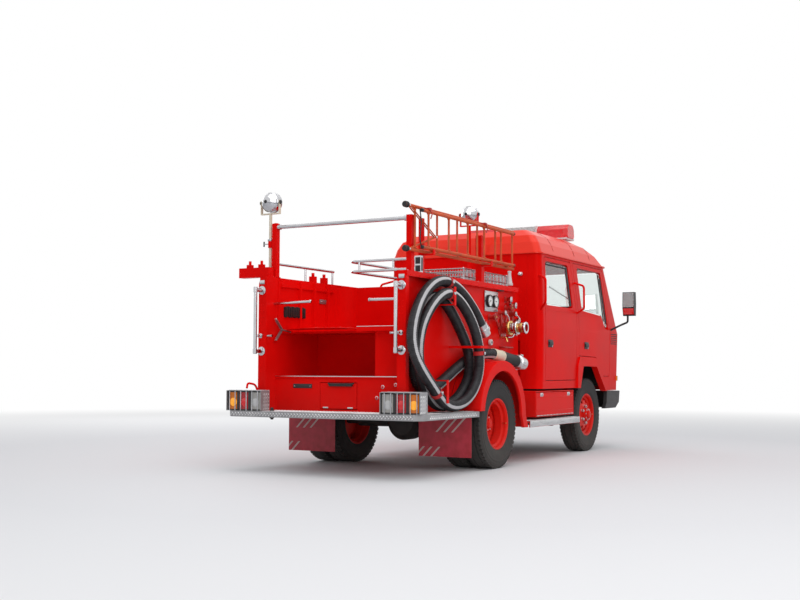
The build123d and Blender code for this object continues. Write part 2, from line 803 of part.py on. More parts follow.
# Rear lower panel with its hatch, hinged at the foot
hatch_y = 177
hatch_z = (532, 745)
panel_x = -1170
rear_panel = block(panel_x, panel_x + 20, -opening_y, opening_y, step_top, panel_top - 14)
rear_panel = rear_panel - block(
    panel_x - 5,
    panel_x + 25,
    -hatch_y - 5,
    hatch_y + 5,
    hatch_z[0] - 5,
    hatch_z[1] + 5,
)
locker_box = block(-1150, -820, -hatch_y - 20, hatch_y + 20, hatch_z[0] - 17, hatch_z[1] + 20)
locker_box = locker_box - block(-1151, -832, -hatch_y - 8, hatch_y + 8, hatch_z[0] - 6, hatch_z[1] + 8)
panel_ledge = block(panel_x - 12, panel_x + 20, -opening_y, opening_y, panel_top - 14, panel_top)
save(joined([rear_panel, panel_ledge, locker_box]), "rear_panel")
hatch_plate = block(panel_x - 4, panel_x + 12, -hatch_y, hatch_y, *hatch_z)
hatch_grip = block(panel_x - 18, panel_x - 4, -138, 90, 722, 738)
save(joined([hatch_plate, hatch_grip]), "rear_hatch")

# Rear step: one plate across the back with a wing along each side, chamfered at the rear corners
step_outline = [
    (-1471, -step_half_width + 60),
    (-1471, step_half_width - 60),
    (-1411, step_half_width),
    (-432, step_half_width),
    (-432, 700),
    (-1120, 700),
    (-1120, -700),
    (-432, -700),
    (-432, -step_half_width),
    (-1411, -step_half_width),
]
step_face = make_face(
    Polyline(*[point(x, y, step_top - step_thickness) for x, y in step_outline], close=True)
)
rear_step = extrude(step_face, amount=step_thickness, dir=(0, 0, 1))

# Rear fenders: an arched band over the twin wheels with a wide rolled face
def arch_face(radius, half_foot, y):
    """Half round on straight legs, the front leg splayed forward"""
    cx, cz = arch_centre
    legs = [(cx - radius, 464), (cx - radius, cz), (cx + radius, cz), (cx + radius + half_foot, 338)]
    top = ThreePointArc(point(legs[1][0], y, cz), point(cx, y, cz + radius), point(legs[2][0], y, cz))
    rest = Polyline(
        point(legs[2][0], y, cz),
        point(legs[3][0], y, 338),
        point(legs[0][0], y, 338),
        point(legs[1][0], y, cz),
    )
    return make_face([top, rest])


def arch_solid(radius, half_foot, y0, y1):
    return extrude(arch_face(radius, half_foot, y0), amount=y1 - y0, dir=(0, 1, 0))


below_step = block(-600, 0, 600, 1000, 300, step_top + 0.5)
band = arch_solid(
    fender_radius,
    60,
    body_skin + 1,
    fender_outer - 30,
) - arch_solid(fender_radius - 14, 60, body_skin, fender_outer)
face_ring = arch_solid(fender_radius, 60, fender_outer - 30, fender_outer) - arch_solid(
    fender_radius - 92,
    45,
    fender_outer - 40,
    fender_outer + 5,
)
fender = joined([band, face_ring]) - below_step
save(both_sides(fender), "rear_fenders")

# Mud flaps under the step wings
flap_plate = block(-566, -560, 424, 922, 128, step_top - step_thickness)
save(both_sides(flap_plate), "mud_flaps")

# Tail lamps: a box with a guard, and three lenses from the outside in
lamp_y = (575, 926)
lamp_z = (step_top, 676)
lamp_box = block(-1440, -1345, *lamp_y, lamp_z[0], lamp_z[1] + 4)
end_plates = [block(-1468, -1345, y, y + 5, lamp_z[0], lamp_z[1] + 4) for y in (lamp_y[0] - 5, lamp_y[1])]
guard_bars = [rod((-1461, y, lamp_z[0] - 3), (-1461, y, lamp_z[1] + 2), 4) for y in (610, 668, 726, 784, 842)]
guard_top = block(-1468, -1440, lamp_y[0], lamp_y[1], lamp_z[1], lamp_z[1] + 4)
lamp_boxes = both_sides(joined([lamp_box, *end_plates, guard_top, *guard_bars]))
save(joined([rear_step, *lamp_boxes]), "rear_step")
lens_rows = [(816, 918), (700, 812), (584, 696)]
lenses = [block(-1452, -1440, y0, y1, lamp_z[0] + 10, lamp_z[1] - 8) for y0, y1 in lens_rows]
save([piece for lens in lenses for piece in both_sides(lens)], "tail_lenses")

# Bright grab rails on the rear pillars
rail_x = -1410
grab_y = 680
rail_upright = rod((rail_x, grab_y, 985), (rail_x, grab_y, 1550), 15)
rail_feet = [rod((rail_x, grab_y, z), (body_rear, grab_y, z), 13) for z in (1010, 1525)]
rail_pads = [rod((body_rear - 8, grab_y, z), (body_rear, grab_y, z), 30) for z in (1010, 1525)]
grab_rails = both_sides(joined([rail_upright, *rail_feet, *rail_pads]))

# Red posts on the body, with the carriers for the ladder
post_rows = [
    # x, y, half size, top
    (-1150, 664, 24, 2112),
    (-1150, -664, 24, 2104),
    (-962, -664, 18, 2096),
    (142, -664, 30, 2070),
]
posts = [block(x - half, x + half, y - half, y + half, body_top, top) for x, y, half, top in post_rows]
ladder_y = (-712, -755)
hook_reach = ladder_y[1] - 22
hooks = []
for x, y, half, top in post_rows[2:]:
    shelf = block(x - 16, x + 16, hook_reach, y - half, ladder_low - 26, ladder_low - 14)
    tip = block(x - 16, x + 16, hook_reach - 8, hook_reach, ladder_low - 26, ladder_low + 20)
    hooks.append([shelf, tip])
right_posts = [joined([post, *hook]) for post, hook in zip(posts[2:], hooks)]

# Bright rails: across the posts, along the left wall and the guard on the right
top_rail = rod((-1150, -640, 2080), (-1150, 640, 2080), 17)
left_rail = rod((-1126, 664, 1765), (-240, 664, 1765), 13)
left_stays = [rod((x, 664, body_top), (x, 664, 1765), 10) for x in (-700, -260)]
guard = [
    bent_tube([(-1000, -636, z), (-1000, 0, z), (-30, 0, z)], 12, 50) for z in (1680, 1765)
]
guard_posts = [rod((-60, 0, deck_top), (-60, 0, 1765), 9)]
guard_posts += [rod((-1000, y, 1680), (-1000, y, 1765), 9) for y in (-90, -420)]
guard_end = block(-1016, -984, -690, -630, body_top, 1785)
save(
    [*grab_rails, top_rail, joined([left_rail, *left_stays]), joined([*guard, *guard_posts, guard_end])],
    "bright_rails",
)

# Ladder on edge beside the posts: two nested sections of tube
ladder_rows = [
    # y, rear end, front end, rails set in by, rung places
    (ladder_y[0], -1290, 765, 0, (-1160, -780, -410, -16, 366, 745)),
    (ladder_y[1], -1120, 690, 26, (-1010, -650, -290, 40, 400)),
]
ladder_parts = []
for y, rear, front, set_in, rungs in ladder_rows:
    low, high = ladder_low + set_in, ladder_high - set_in
    tubes = [rod((rear, y, z), (front, y, z), 14) for z in (low, high)]
    bars = [rod((x, y, low), (x, y, high), 9) for x in rungs]
    ladder_parts.append(joined([*tubes, *bars]))
links = [
    block(x - 12, x + 12, ladder_y[1], ladder_y[0], ladder_low + 2, ladder_low + 26) for x in (-900, 560)
]
feet = [rod((-1332, ladder_y[0], z), (-1285, ladder_y[0], z), 22) for z in (ladder_low, ladder_high)]
save(joined([*ladder_parts, *links, *feet]), "ladder")

# Wire baskets on the deck
basket_rows = [
    # rear, front, right, left, wires along the side
    (-60, 210, -600, -120, 5),
    (350, 870, -600, -120, 8),
]
baskets = []
for rear, front, right, left, count in basket_rows:
    bars = []
    for z in (deck_top + 6, deck_top + 70, deck_top + 140):
        bars += [rod((rear, y, z), (front, y, z), 6) for y in (right, left)]
        bars += [rod((x, right, z), (x, left, z), 6) for x in (rear, front)]
    for i in range(count):
        x = rear + (front - rear) * i / (count - 1)
        bars += [rod((x, y, deck_top + 6), (x, y, deck_top + 140), 5) for y in (right, left)]
    baskets.append(joined(bars))
save(baskets, "deck_baskets")

# Pump panel on the right: gauge plate, gauges, valves and the outlet
panel_y = -body_skin
gauge_plate = block(232, 496, panel_y - 8, panel_y, 1400, 1572)
gauges = [rod((x, panel_y - 8, 1488), (x, panel_y - 30, 1488), 56) for x in (300, 428)]
gauge_panel = joined([gauge_plate, *gauges])
outlet_x, outlet_z = 610, 1250
outlet_rows = [
    # offset out from the panel, radius
    (0, 78),
    (18, 78),
    (18, 52),
    (70, 52),
    (70, 66),
    (96, 66),
    (96, 44),
    (140, 44),
    (140, 60),
    (168, 60),
    (168, 42),
    (225, 42),
    (225, 52),
    (250, 52),
]
outlet_profile = [point(outlet_x, panel_y, outlet_z)]
outlet_profile += [Vector(ahead(outlet_x) + r, panel_y - out, outlet_z) for out, r in outlet_rows]
outlet_profile += [
    Vector(ahead(outlet_x) + 34, panel_y - 250, outlet_z),
    Vector(ahead(outlet_x) + 34, panel_y - 120, outlet_z),
]
outlet_profile += [Vector(ahead(outlet_x), panel_y - 120, outlet_z)]
outlet = revolve(
    make_face(Polyline(*outlet_profile, close=True)),
    Axis(origin=tuple(point(outlet_x, 0, outlet_z)), direction=(0, 1, 0)),
)
valve_rows = [(690, 1520), (690, 1440), (800, 1470), (800, 1390), (560, 1390), (330, 1340), (880, 1330)]
valves = []
for x, z in valve_rows:
    valves.append(
        joined(
            [
                rod((x, panel_y, z), (x, panel_y - 46, z), 16),
                rod((x, panel_y - 46, z), (x, panel_y - 62, z), 26),
            ],
        ),
    )
plug = rod((330, panel_y, 1110), (330, panel_y - 26, 1110), 26)
handle = bent_tube(
    [(560, panel_y, 1070), (560, panel_y - 50, 1070), (760, panel_y - 50, 1070), (760, panel_y, 1070)],
    9,
    18,
)
right_fittings = [gauge_panel, outlet, *valves, plug, handle]
left_outlet = mirror(outlet, Plane.XZ)
save([*right_fittings, left_outlet], "pump_panel")


# Suction hose: stowed on the right in three upright turns, from the coupling over the fender
# behind the bundle to the lower left, then clockwise as seen from the right, growing outwards
hose_route = [
    # x ahead of the rear axle, y, z
    (200, -845, 978),
    (60, -832, 1000),
    (-60, -800, 1002),
    (-170, -745, 972),
    (-290, -716, 925),
    (-440, -713, 866),
    (-640, -713, 780),
    (-820, -713, 710),
    (-960, -713, 684),
    (-1085, -713, 718),
    (-1160, -713, 808),
    (-1190, -714, 930),
    (-1185, -714, 1070),
    (-1145, -714, 1210),
    (-1070, -714, 1330),
    (-965, -714, 1420),
    (-835, -714, 1464),
    (-690, -716, 1444),
    (-560, -732, 1352),
    (-462, -770, 1195),
    (-392, -807, 1030),
    (-362, -810, 915),
    (-384, -810, 808),
    (-442, -808, 728),
    (-535, -805, 650),
    (-655, -800, 590),
    (-800, -793, 562),
    (-945, -791, 574),
    (-1062, -794, 632),
    (-1160, -797, 722),
    (-1230, -799, 835),
    (-1270, -805, 965),
    (-1266, -808, 1090),
    (-1216, -808, 1208),
    (-1128, -808, 1310),
    (-1015, -808, 1400),
    (-890, -808, 1466),
    (-755, -808, 1494),
    (-630, -818, 1462),
    (-525, -842, 1380),
    (-442, -874, 1255),
    (-390, -898, 1110),
    (-372, -905, 970),
    (-382, -905, 850),
    (-440, -905, 742),
    (-535, -903, 650),
    (-660, -897, 586),
    (-805, -891, 560),
    (-950, -889, 574),
    (-1070, -891, 630),
    (-1190, -893, 718),
    (-1325, -876, 840),
    (-1376, -832, 965),
    (-1380, -806, 1095),
    (-1334, -796, 1228),
    (-1252, -786, 1346),
    (-1142, -776, 1450),
    (-1006, -770, 1536),
    (-856, -768, 1586),
    (-700, -768, 1592),
    (-545, -770, 1560),
    (-420, -774, 1504),
    (-305, -780, 1432),
    (-200, -787, 1350),
    (-118, -793, 1262),
]


def route_radii(route):
    """The largest arc that each corner's two runs allow"""
    radii = []
    for before, here, after in zip(route, route[1:], route[2:]):
        first, second = Vector(*here) - Vector(*before), Vector(*after) - Vector(*here)
        turn = math.radians(first.get_angle(second))
        radii.append(0.45 * min(first.length, second.length) / math.tan(turn / 2))
    return radii


hose_radii = route_radii(hose_route)
hose_path = FilletPolyline(*[point(*p) for p in hose_route], radius=hose_radii)
hose = sweep(Plane(origin=hose_path @ 0, z_dir=hose_path % 0) * Circle(hose_radius), path=hose_path)
save(hose, "suction_hose")


def end_fitting(place, direction, rows):
    """A turned coupling: rows of (distance along, radius)"""
    plane = Plane(origin=place, z_dir=direction)
    outline = [(0, rows[0][0])] + [(r, d) for d, r in rows] + [(0, rows[-1][0])]
    face = make_face(Polyline(*[plane.from_local_coords((r, 0, d)) for r, d in outline], close=True))
    return revolve(face, Axis(origin=place, direction=direction))


front_rows = [
    # distance along, radius
    (0, 52),
    (262, 52),
    (262, 57),
    (292, 57),
    (300, 66),
    (345, 66),
    (345, 58),
    (400, 58),
]
rear_rows = [
    (0, 53),
    (50, 53),
    (50, 60),
    (80, 60),
    (80, 50),
    (125, 50),
]
front_end = end_fitting(hose_path @ 0, -(hose_path % 0), front_rows)
rear_end = end_fitting(hose_path @ 1, hose_path % 1, rear_rows)
save([front_end, rear_end], "hose_couplings")

# What holds the hose: a cradle under the top, a hanger at the lower left and a bent peg at the right
hook_boxes = [
    # rear, front, outer y, inner y, bottom, top
    (-760, -730, -866, panel_y, 1389, 1399),
    (-760, -730, -866, -858, 1389, 1541),
    (-1050, -1020, -948, panel_y, 766, 776),
    (-1050, -1020, -948, -940, 590, 766),
    (-472, -458, -964, panel_y, 1040, 1060),
    (-472, -322, -964, -954, 1040, 1060),
]
hose_hooks = [block(*row) for row in hook_boxes]
right_panel = joined([mirror(side_panel, Plane.XZ), *hose_hooks])

# Outrigger tray at the left rear with two tool holders, and two more on the wall
tray = block(-1262, -1190, body_half_width - 60, 972, body_top, body_top + 84)
tray = tray - block(-1254, -1198, body_half_width - 50, 962, body_top + 9, body_top + 90)
def tool_holder(x, y, z, half, height):
    """A square foot with a round peg on it"""
    foot = block(x - half, x + half, y - half, y + half, z, z + height)
    return joined([foot, rod((x, y, z + height), (x, y, z + height + 32), 0.55 * half)])


tool_holders = [tool_holder(-1226, y, body_top + 9, 22, 104) for y in (880, 756)]
wall_holders = [tool_holder(x, 676, body_top, 26, 55) for x in (-560, -380)]
left_panel = joined([side_panel, tray, *tool_holders, *wall_holders])
save([left_panel, right_panel], "body_sides")

# Left rear light mast: a sleeve on the post, a pole that slides in it and a lamp that tilts
mast_x, mast_y = -1150, 722
mast_sleeve = rod((mast_x, mast_y, 1905), (mast_x, mast_y, 1975), 20) - rod(
    (mast_x, mast_y, 1900),
    (mast_x, mast_y, 1980),
    13.06,
)
sleeve_arm = block(mast_x - 14, mast_x + 14, 688, mast_y - 15, 1915, 1965)
lower_guide = rod(
    (mast_x, mast_y, body_top),
    (mast_x, mast_y, 1700),
    20,
) - rod((mast_x, mast_y, 1668), (mast_x, mast_y, 1705), 13.06)
guide_foot = block(mast_x - 20, mast_x + 20, 690, mast_y - 10, body_top, body_top + 18)
left_post = joined([posts[0], mast_sleeve, sleeve_arm])
lamp_tilt_z = 2300
mast_pole = rod((mast_x, mast_y, 1669), (mast_x, mast_y, 2196), 13)
yoke = [
    block(mast_x - 14, mast_x + 14, mast_y - 98, mast_y + 98, 2196, 2206),
    block(mast_x - 14, mast_x + 14, mast_y - 98, mast_y - 92, 2196, lamp_tilt_z + 18),
    block(mast_x - 14, mast_x + 14, mast_y + 92, mast_y + 98, 2196, lamp_tilt_z + 18),
]
pivot_bore = rod((mast_x, mast_y - 110, lamp_tilt_z), (mast_x, mast_y + 110, lamp_tilt_z), 8.06)
save(joined([mast_pole, *yoke]) - pivot_bore, "light_mast")


def lamp_body(x, y, z):
    """A round lamp with its bowl towards the rear and a pivot stub each side"""
    outline = [(-48, 0), (-48, 66), (-38, 84), (16, 84), (32, 74), (62, 44), (78, 14), (78, 0)]
    face = make_face(Polyline(*[Vector(ahead(x) - d, y, z + r) for d, r in outline], close=True))
    bowl = revolve(face, Axis(origin=tuple(point(x, y, z)), direction=(1, 0, 0)))
    stub = rod((x, y - 97, z), (x, y + 97, z), 8)
    return joined([bowl, stub])


save(lamp_body(mast_x, mast_y, lamp_tilt_z), "mast_lamp")

# Second lamp on a post behind the cab
deck_lamp_x, deck_lamp_y, deck_lamp_z = 925, -173, 2389
deck_post = rod((deck_lamp_x, deck_lamp_y, deck_top), (deck_lamp_x, deck_lamp_y, deck_lamp_z - 115), 16)
deck_plate = block(
    deck_lamp_x - 42,
    deck_lamp_x + 42,
    deck_lamp_y - 60,
    deck_lamp_y + 60,
    deck_top,
    deck_top + 8,
)
deck_yoke = [
    block(
        deck_lamp_x - 14,
        deck_lamp_x + 14,
        deck_lamp_y - 98,
        deck_lamp_y + 98,
        deck_lamp_z - 115,
        deck_lamp_z - 105,
    ),
    block(
        deck_lamp_x - 14,
        deck_lamp_x + 14,
        deck_lamp_y - 98,
        deck_lamp_y - 92,
        deck_lamp_z - 115,
        deck_lamp_z + 18,
    ),
    block(
        deck_lamp_x - 14,
        deck_lamp_x + 14,
        deck_lamp_y + 92,
        deck_lamp_y + 98,
        deck_lamp_z - 115,
        deck_lamp_z + 18,
    ),
]
deck_bore = rod(
    (deck_lamp_x, deck_lamp_y - 110, deck_lamp_z),
    (deck_lamp_x, deck_lamp_y + 110, deck_lamp_z),
    8.06,
)
lamp_post = joined([deck_post, deck_plate, *deck_yoke]) - deck_bore
save([left_post, joined([lower_guide, guide_foot]), posts[1], *right_posts, lamp_post], "posts")
save(lamp_body(deck_lamp_x, deck_lamp_y, deck_lamp_z), "deck_lamp")
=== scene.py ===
import math

import bmesh
import bpy
from mathutils import Matrix, Vector
from mathutils.bvhtree import BVHTree


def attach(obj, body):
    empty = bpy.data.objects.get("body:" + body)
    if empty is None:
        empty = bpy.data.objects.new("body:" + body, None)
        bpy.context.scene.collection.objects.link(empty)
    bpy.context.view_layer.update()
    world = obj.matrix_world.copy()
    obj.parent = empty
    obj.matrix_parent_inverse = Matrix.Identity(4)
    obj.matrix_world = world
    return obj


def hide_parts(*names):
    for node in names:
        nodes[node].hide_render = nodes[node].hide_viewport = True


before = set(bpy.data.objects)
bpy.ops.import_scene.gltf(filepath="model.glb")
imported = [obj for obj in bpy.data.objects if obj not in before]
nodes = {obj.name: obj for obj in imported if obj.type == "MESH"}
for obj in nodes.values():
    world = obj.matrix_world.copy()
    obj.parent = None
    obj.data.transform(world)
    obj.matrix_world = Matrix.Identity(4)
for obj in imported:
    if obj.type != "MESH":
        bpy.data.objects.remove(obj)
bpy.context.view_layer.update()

scene = bpy.context.scene
axleBack = -1.014                # x of the rear axle, metres
mm = 0.001
toFront, toRear = (1, 0, 0), (-1, 0, 0)
toLeft, toRight = (0, 1, 0), (0, -1, 0)
toTop, toFloor = (0, 0, 1), (0, 0, -1)
print("frame loaded:", len(nodes), "nodes")


def at(x, y, z):
    # x ahead of the rear axle, y to the left, z up, all in mm
    return Vector((x * mm + axleBack, y * mm, z * mm))


# finishes
def linkNodes(tree, *links):
    # a link is (node, its output, node, its input), or (output, node, its input)
    for *start, node, key in links:
        output = start[0].outputs[start[1]] if len(start) == 2 else start[0]
        tree.links.new(output, node.inputs[key])


def setInputs(node, **values):
    for key, value in values.items():
        node.inputs[key.replace("_", " ")].default_value = value


def addNode(tree, kind, **values):
    # a value is a property of the node, or else one of its inputs
    node = tree.nodes.new(kind)
    for key, value in values.items():
        if hasattr(node, key):
            setattr(node, key, value)
        else:
            setInputs(node, **{key: value})
    return node


def mathNode(tree, operation, *values):
    # the values fill its inputs in order, and None leaves one open
    node = addNode(tree, "ShaderNodeMath", operation=operation)
    for socket, value in zip(node.inputs, values):
        if value is not None:
            socket.default_value = value
    return node


def startFinish(name):
    material = bpy.data.materials.new(name)
    material.use_nodes = True
    tree = material.node_tree
    shader = tree.nodes["Principled BSDF"]
    place = addNode(tree, "ShaderNodeTexCoord")
    return material, tree, shader, place.outputs["Object"]


def rampNode(tree, stops):
    ramp = addNode(tree, "ShaderNodeValToRGB")
    points = ramp.color_ramp.elements
    while len(points) < len(stops):
        points.new(0.5)
    for point, (spot, colour) in zip(points, stops):
        point.position = spot
        point.color = colour if len(colour) == 4 else (*colour, 1)
    return ramp


def shade(colour, factor):
    return tuple(min(1.0, c * factor) for c in colour)


def finishOf(
        name, colour, rough=0.5, metal=0.0, vary=0.15, patch=2.5, grain=0.1, grainSize=400.0, dust=0.0,
        dustTop=0.8, coat=0.0, see=0.0, stretch=(1, 1, 1), ior=1.45, roughSpan=0.12, glow=0.0,
        reflect=0.5, sheenTint=(1, 1, 1)):
    # one colour with broad patches, fine grain, uneven gloss and road dust low down
    material, tree, shader, spot = startFinish(name)
    shape = addNode(tree, "ShaderNodeMapping", Scale=stretch)
    broad = addNode(tree, "ShaderNodeTexNoise", Scale=patch, Detail=5.0, Roughness=0.6)
    fine = addNode(tree, "ShaderNodeTexNoise", Scale=grainSize, Detail=2.0, Roughness=0.5)
    tones = rampNode(tree, [
        (0.3, shade(colour, 1 - vary)), (0.5, colour), (0.72, shade(colour, 1 + vary))])
    linkNodes(
        tree, (spot, shape, "Vector"), (shape, "Vector", broad, "Vector"),
        (shape, "Vector", fine, "Vector"), (broad, "Fac", tones, "Fac"))
    tint = tones.outputs["Color"]
    if dust:
        split = addNode(tree, "ShaderNodeSeparateXYZ")
        height = addNode(
            tree, "ShaderNodeMapRange", From_Min=0.1, From_Max=dustTop, To_Min=dust, To_Max=0.0)
        speck = addNode(tree, "ShaderNodeTexNoise", Scale=14.0, Detail=8.0, Roughness=0.7)
        amount = mathNode(tree, "MULTIPLY")
        mix = addNode(tree, "ShaderNodeMix", data_type="RGBA")
        mix.inputs[7].default_value = (0.2, 0.17, 0.14, 1)
        linkNodes(
            tree, (spot, split, 0), (split, "Z", height, "Value"), (spot, speck, "Vector"),
            (height, "Result", amount, 0), (speck, "Fac", amount, 1), (amount, 0, mix, 0), (tint, mix, 6))
        tint = mix.outputs[2]
    gloss = addNode(
        tree, "ShaderNodeMapRange", From_Min=0.3, From_Max=0.7, To_Min=max(0.02, rough - roughSpan / 2),
        To_Max=rough + roughSpan / 2)
    bump = addNode(tree, "ShaderNodeBump", Strength=grain, Distance=0.001)
    linkNodes(
        tree, (tint, shader, "Base Color"), (broad, "Fac", gloss, "Value"),
        (gloss, "Result", shader, "Roughness"), (fine, "Fac", bump, "Height"),
        (bump, "Normal", shader, "Normal"))
    setInputs(
        shader, Metallic=metal, Coat_Weight=coat, Coat_Roughness=0.08, Transmission_Weight=see, IOR=ior,
        Specular_IOR_Level=reflect, Specular_Tint=(*sheenTint, 1))
    if glow:
        linkNodes(tree, (tint, shader, "Emission Color"))
        setInputs(shader, Emission_Strength=glow)
    return material


# a row: name, colour, roughness and what else sets it apart
finishRows = [
    ("firePaint", (0.78, 0.004, 0.003), 0.34, dict(
        vary=0.1, patch=1.2, grain=0.03, grainSize=260, dust=0.2, dustTop=0.9, reflect=0.08,
        roughSpan=0.1, sheenTint=(1, 0.3, 0.26))),
    ("seamPaint", (0.3, 0.006, 0.004), 0.5, dict(vary=0.1, patch=3, grain=0.05, reflect=0.15)),
    # the cab roof's finish: a lighter, more orange copy of the fire paint, a painted highlight where the
    # light above falls on the roof
    ("litRoofPaint", (0.86, 0.035, 0.016), 0.34, dict(
        vary=0.08, patch=1.0, grain=0.03, grainSize=260, coat=0.22, reflect=0.3, roughSpan=0.08,
        sheenTint=(1, 0.5, 0.42))),
    ("rimPaint", (0.72, 0.01, 0.005), 0.38, dict(
        vary=0.12, patch=5, grain=0.06, dust=0.2, dustTop=0.6, coat=0.05, reflect=0.2,
        sheenTint=(1, 0.5, 0.45))),
    (
        "valvePaint", (0.42, 0.012, 0.008), 0.42,
        dict(vary=0.25, patch=14, grain=0.2, grainSize=180, coat=0.3)),
    ("ladderPaint", (0.55, 0.085, 0.025), 0.5, dict(
        reflect=0.25, vary=0.25, patch=9, grain=0.15, grainSize=200)),
    ("chassisBlack", (0.022, 0.022, 0.023), 0.6, dict(
        vary=0.35, patch=6, grain=0.25, grainSize=140, dust=0.45, dustTop=0.8)),
    ("castIron", (0.05, 0.047, 0.044), 0.66, dict(
        metal=0.5, vary=0.3, patch=9, grain=0.4, grainSize=160, dust=0.4, dustTop=0.7)),
    ("springSteel", (0.07, 0.062, 0.055), 0.6, dict(metal=0.6, vary=0.3, patch=8, grain=0.3, dust=0.4)),
    ("tyreRubber", (0.018, 0.018, 0.019), 0.78, dict(
        vary=0.3, patch=7, grain=0.25, grainSize=260, dust=0.3, dustTop=0.75)),
    ("blackRubber", (0.012, 0.012, 0.013), 0.55, dict(vary=0.2, patch=10, grain=0.12)),
    ("blackPlastic", (0.018, 0.018, 0.02), 0.45, dict(
        vary=0.15, patch=8, grain=0.3, grainSize=500, dust=0.25, dustTop=0.9)),
    ("dashPlastic", (0.05, 0.05, 0.052), 0.6, dict(vary=0.12, patch=6, grain=0.4, grainSize=420)),
    ("chrome", (0.56, 0.56, 0.58), 0.14, dict(metal=1.0, vary=0.08, patch=9, grain=0.03, roughSpan=0.1)),
    ("brushedSteel", (0.6, 0.6, 0.61), 0.3, dict(
        metal=1.0, vary=0.12, patch=6, grain=0.12, grainSize=90, stretch=(1, 1, 12))),
    ("treadBase", (0.33, 0.33, 0.34), 0.48, dict(
        metal=0.4, vary=0.2, patch=7, grain=0.15, grainSize=200, dust=0.4, dustTop=0.9)),
    ("wireSteel", (0.34, 0.34, 0.35), 0.28, dict(metal=1.0, vary=0.15, patch=12, grain=0.05)),
    ("treadAluminium", (0.85, 0.85, 0.86), 0.4, dict(
        metal=0.6, vary=0.2, patch=7, grain=0.15, grainSize=200, dust=0.5, dustTop=0.9)),
    ("brass", (0.68, 0.45, 0.16), 0.28, dict(metal=1.0, vary=0.18, patch=20, grain=0.1)),
    ("whiteEnamel", (0.66, 0.66, 0.65), 0.35, dict(vary=0.05, patch=6, grain=0.05, coat=0.2)),
    ("gaugeFace", (0.82, 0.82, 0.8), 0.5, dict(vary=0.04, patch=30, grain=0.02)),
    ("creamPaint", (0.7, 0.62, 0.48), 0.5, dict(vary=0.1, patch=9, grain=0.2, grainSize=220)),
    ("strapWeb", (0.5, 0.02, 0.02), 0.75, dict(vary=0.15, patch=20, grain=0.6, grainSize=600)),
    ("lensRed", (0.85, 0.012, 0.02), 0.16, dict(
        vary=0.1, patch=20, grain=0.05, see=0.35, coat=0.6, glow=0.05)),
    ("bulbAmber", (0.9, 0.36, 0.02), 0.2, dict(vary=0.1, patch=20, grain=0.05, coat=0.5, glow=0.35)),
    ("lensClear", (0.72, 0.72, 0.72), 0.14, dict(vary=0.06, patch=20, grain=0.05, see=0.35, coat=0.6)),
    ("lampGlass", (0.9, 0.9, 0.9), 0.06, dict(vary=0.03, patch=20, grain=0.02, see=0.85, roughSpan=0.04)),
    (
        "windowGlass", (0.86, 0.9, 0.89), 0.03,
        dict(vary=0.02, patch=2, grain=0.0, see=1.0, roughSpan=0.02)),
    (
        "mirrorGlass", (0.85, 0.86, 0.87), 0.03,
        dict(metal=1.0, vary=0.02, patch=3, grain=0.0, roughSpan=0.02)),
    ("tankPaint", (0.04, 0.04, 0.042), 0.5, dict(vary=0.2, patch=6, grain=0.2, dust=0.4)),
    ("lockerSteel", (0.3, 0.3, 0.31), 0.42, dict(metal=0.8, vary=0.15, patch=5, grain=0.15)),]
finishes = {name: finishOf(name, colour, rough, **more) for name, colour, rough, more in finishRows}


def flapFinish():
    # translucent red plastic with three pale slanting stripes on each flap
    material, tree, shader, spot = startFinish("flapPlastic")
    size = {
        "slant": 0.97, "leftStart": 1.0, "rightStart": -0.43, "pitch": 0.074, "width": 0.28,
        "bandMiddle": 0.272, "bandHalf": 0.062}
    split = addNode(tree, "ShaderNodeSeparateXYZ")
    lean = mathNode(tree, "MULTIPLY_ADD", None, size["slant"])
    linkNodes(tree, (spot, split, 0), (split, "Z", lean, 0), (split, "Y", lean, 2))
    masks = []
    for start in (size["leftStart"], size["rightStart"]):
        steps = addNode(
            tree, "ShaderNodeMapRange", From_Min=start, From_Max=start + size["pitch"], To_Min=0.0,
            To_Max=1.0)
        steps.clamp = False
        part = mathNode(tree, "FRACT")
        thin = mathNode(tree, "LESS_THAN", None, size["width"])
        above = mathNode(tree, "GREATER_THAN", None, 0.0)
        below = mathNode(tree, "LESS_THAN", None, 3.0)
        first = mathNode(tree, "MULTIPLY")
        second = mathNode(tree, "MULTIPLY")
        linkNodes(
            tree, (lean, 0, steps, "Value"), (steps, "Result", part, 0), (part, 0, thin, 0),
            (steps, "Result", above, 0), (steps, "Result", below, 0), (above, 0, first, 0),
            (below, 0, first, 1), (first, 0, second, 0), (thin, 0, second, 1))
        masks.append(second)
    either = mathNode(tree, "MAXIMUM")
    # the stripes stop above and below a bare band
    bare = mathNode(tree, "COMPARE", None, size["bandMiddle"], size["bandHalf"])
    outside = mathNode(tree, "SUBTRACT", 1.0)
    striped = mathNode(tree, "MULTIPLY")
    linkNodes(
        tree, (split, "Z", bare, 0), (bare, 0, outside, 1), (either, 0, striped, 0),
        (outside, 0, striped, 1))
    cloud = addNode(tree, "ShaderNodeTexNoise", Scale=16.0, Detail=6.0)
    ground = rampNode(tree, [(0.3, (0.38, 0.009, 0.022)), (0.7, (0.54, 0.02, 0.045))])
    mix = addNode(tree, "ShaderNodeMix", data_type="RGBA")
    mix.inputs[7].default_value = (0.55, 0.4, 0.38, 1)
    linkNodes(
        tree, (masks[0], 0, either, 0), (masks[1], 0, either, 1), (spot, cloud, "Vector"),
        (cloud, "Fac", ground, "Fac"), (striped, 0, mix, 0), (ground, "Color", mix, 6),
        (mix, 2, shader, "Base Color"))
    setInputs(shader, Roughness=0.42, Transmission_Weight=0.15)
    return material


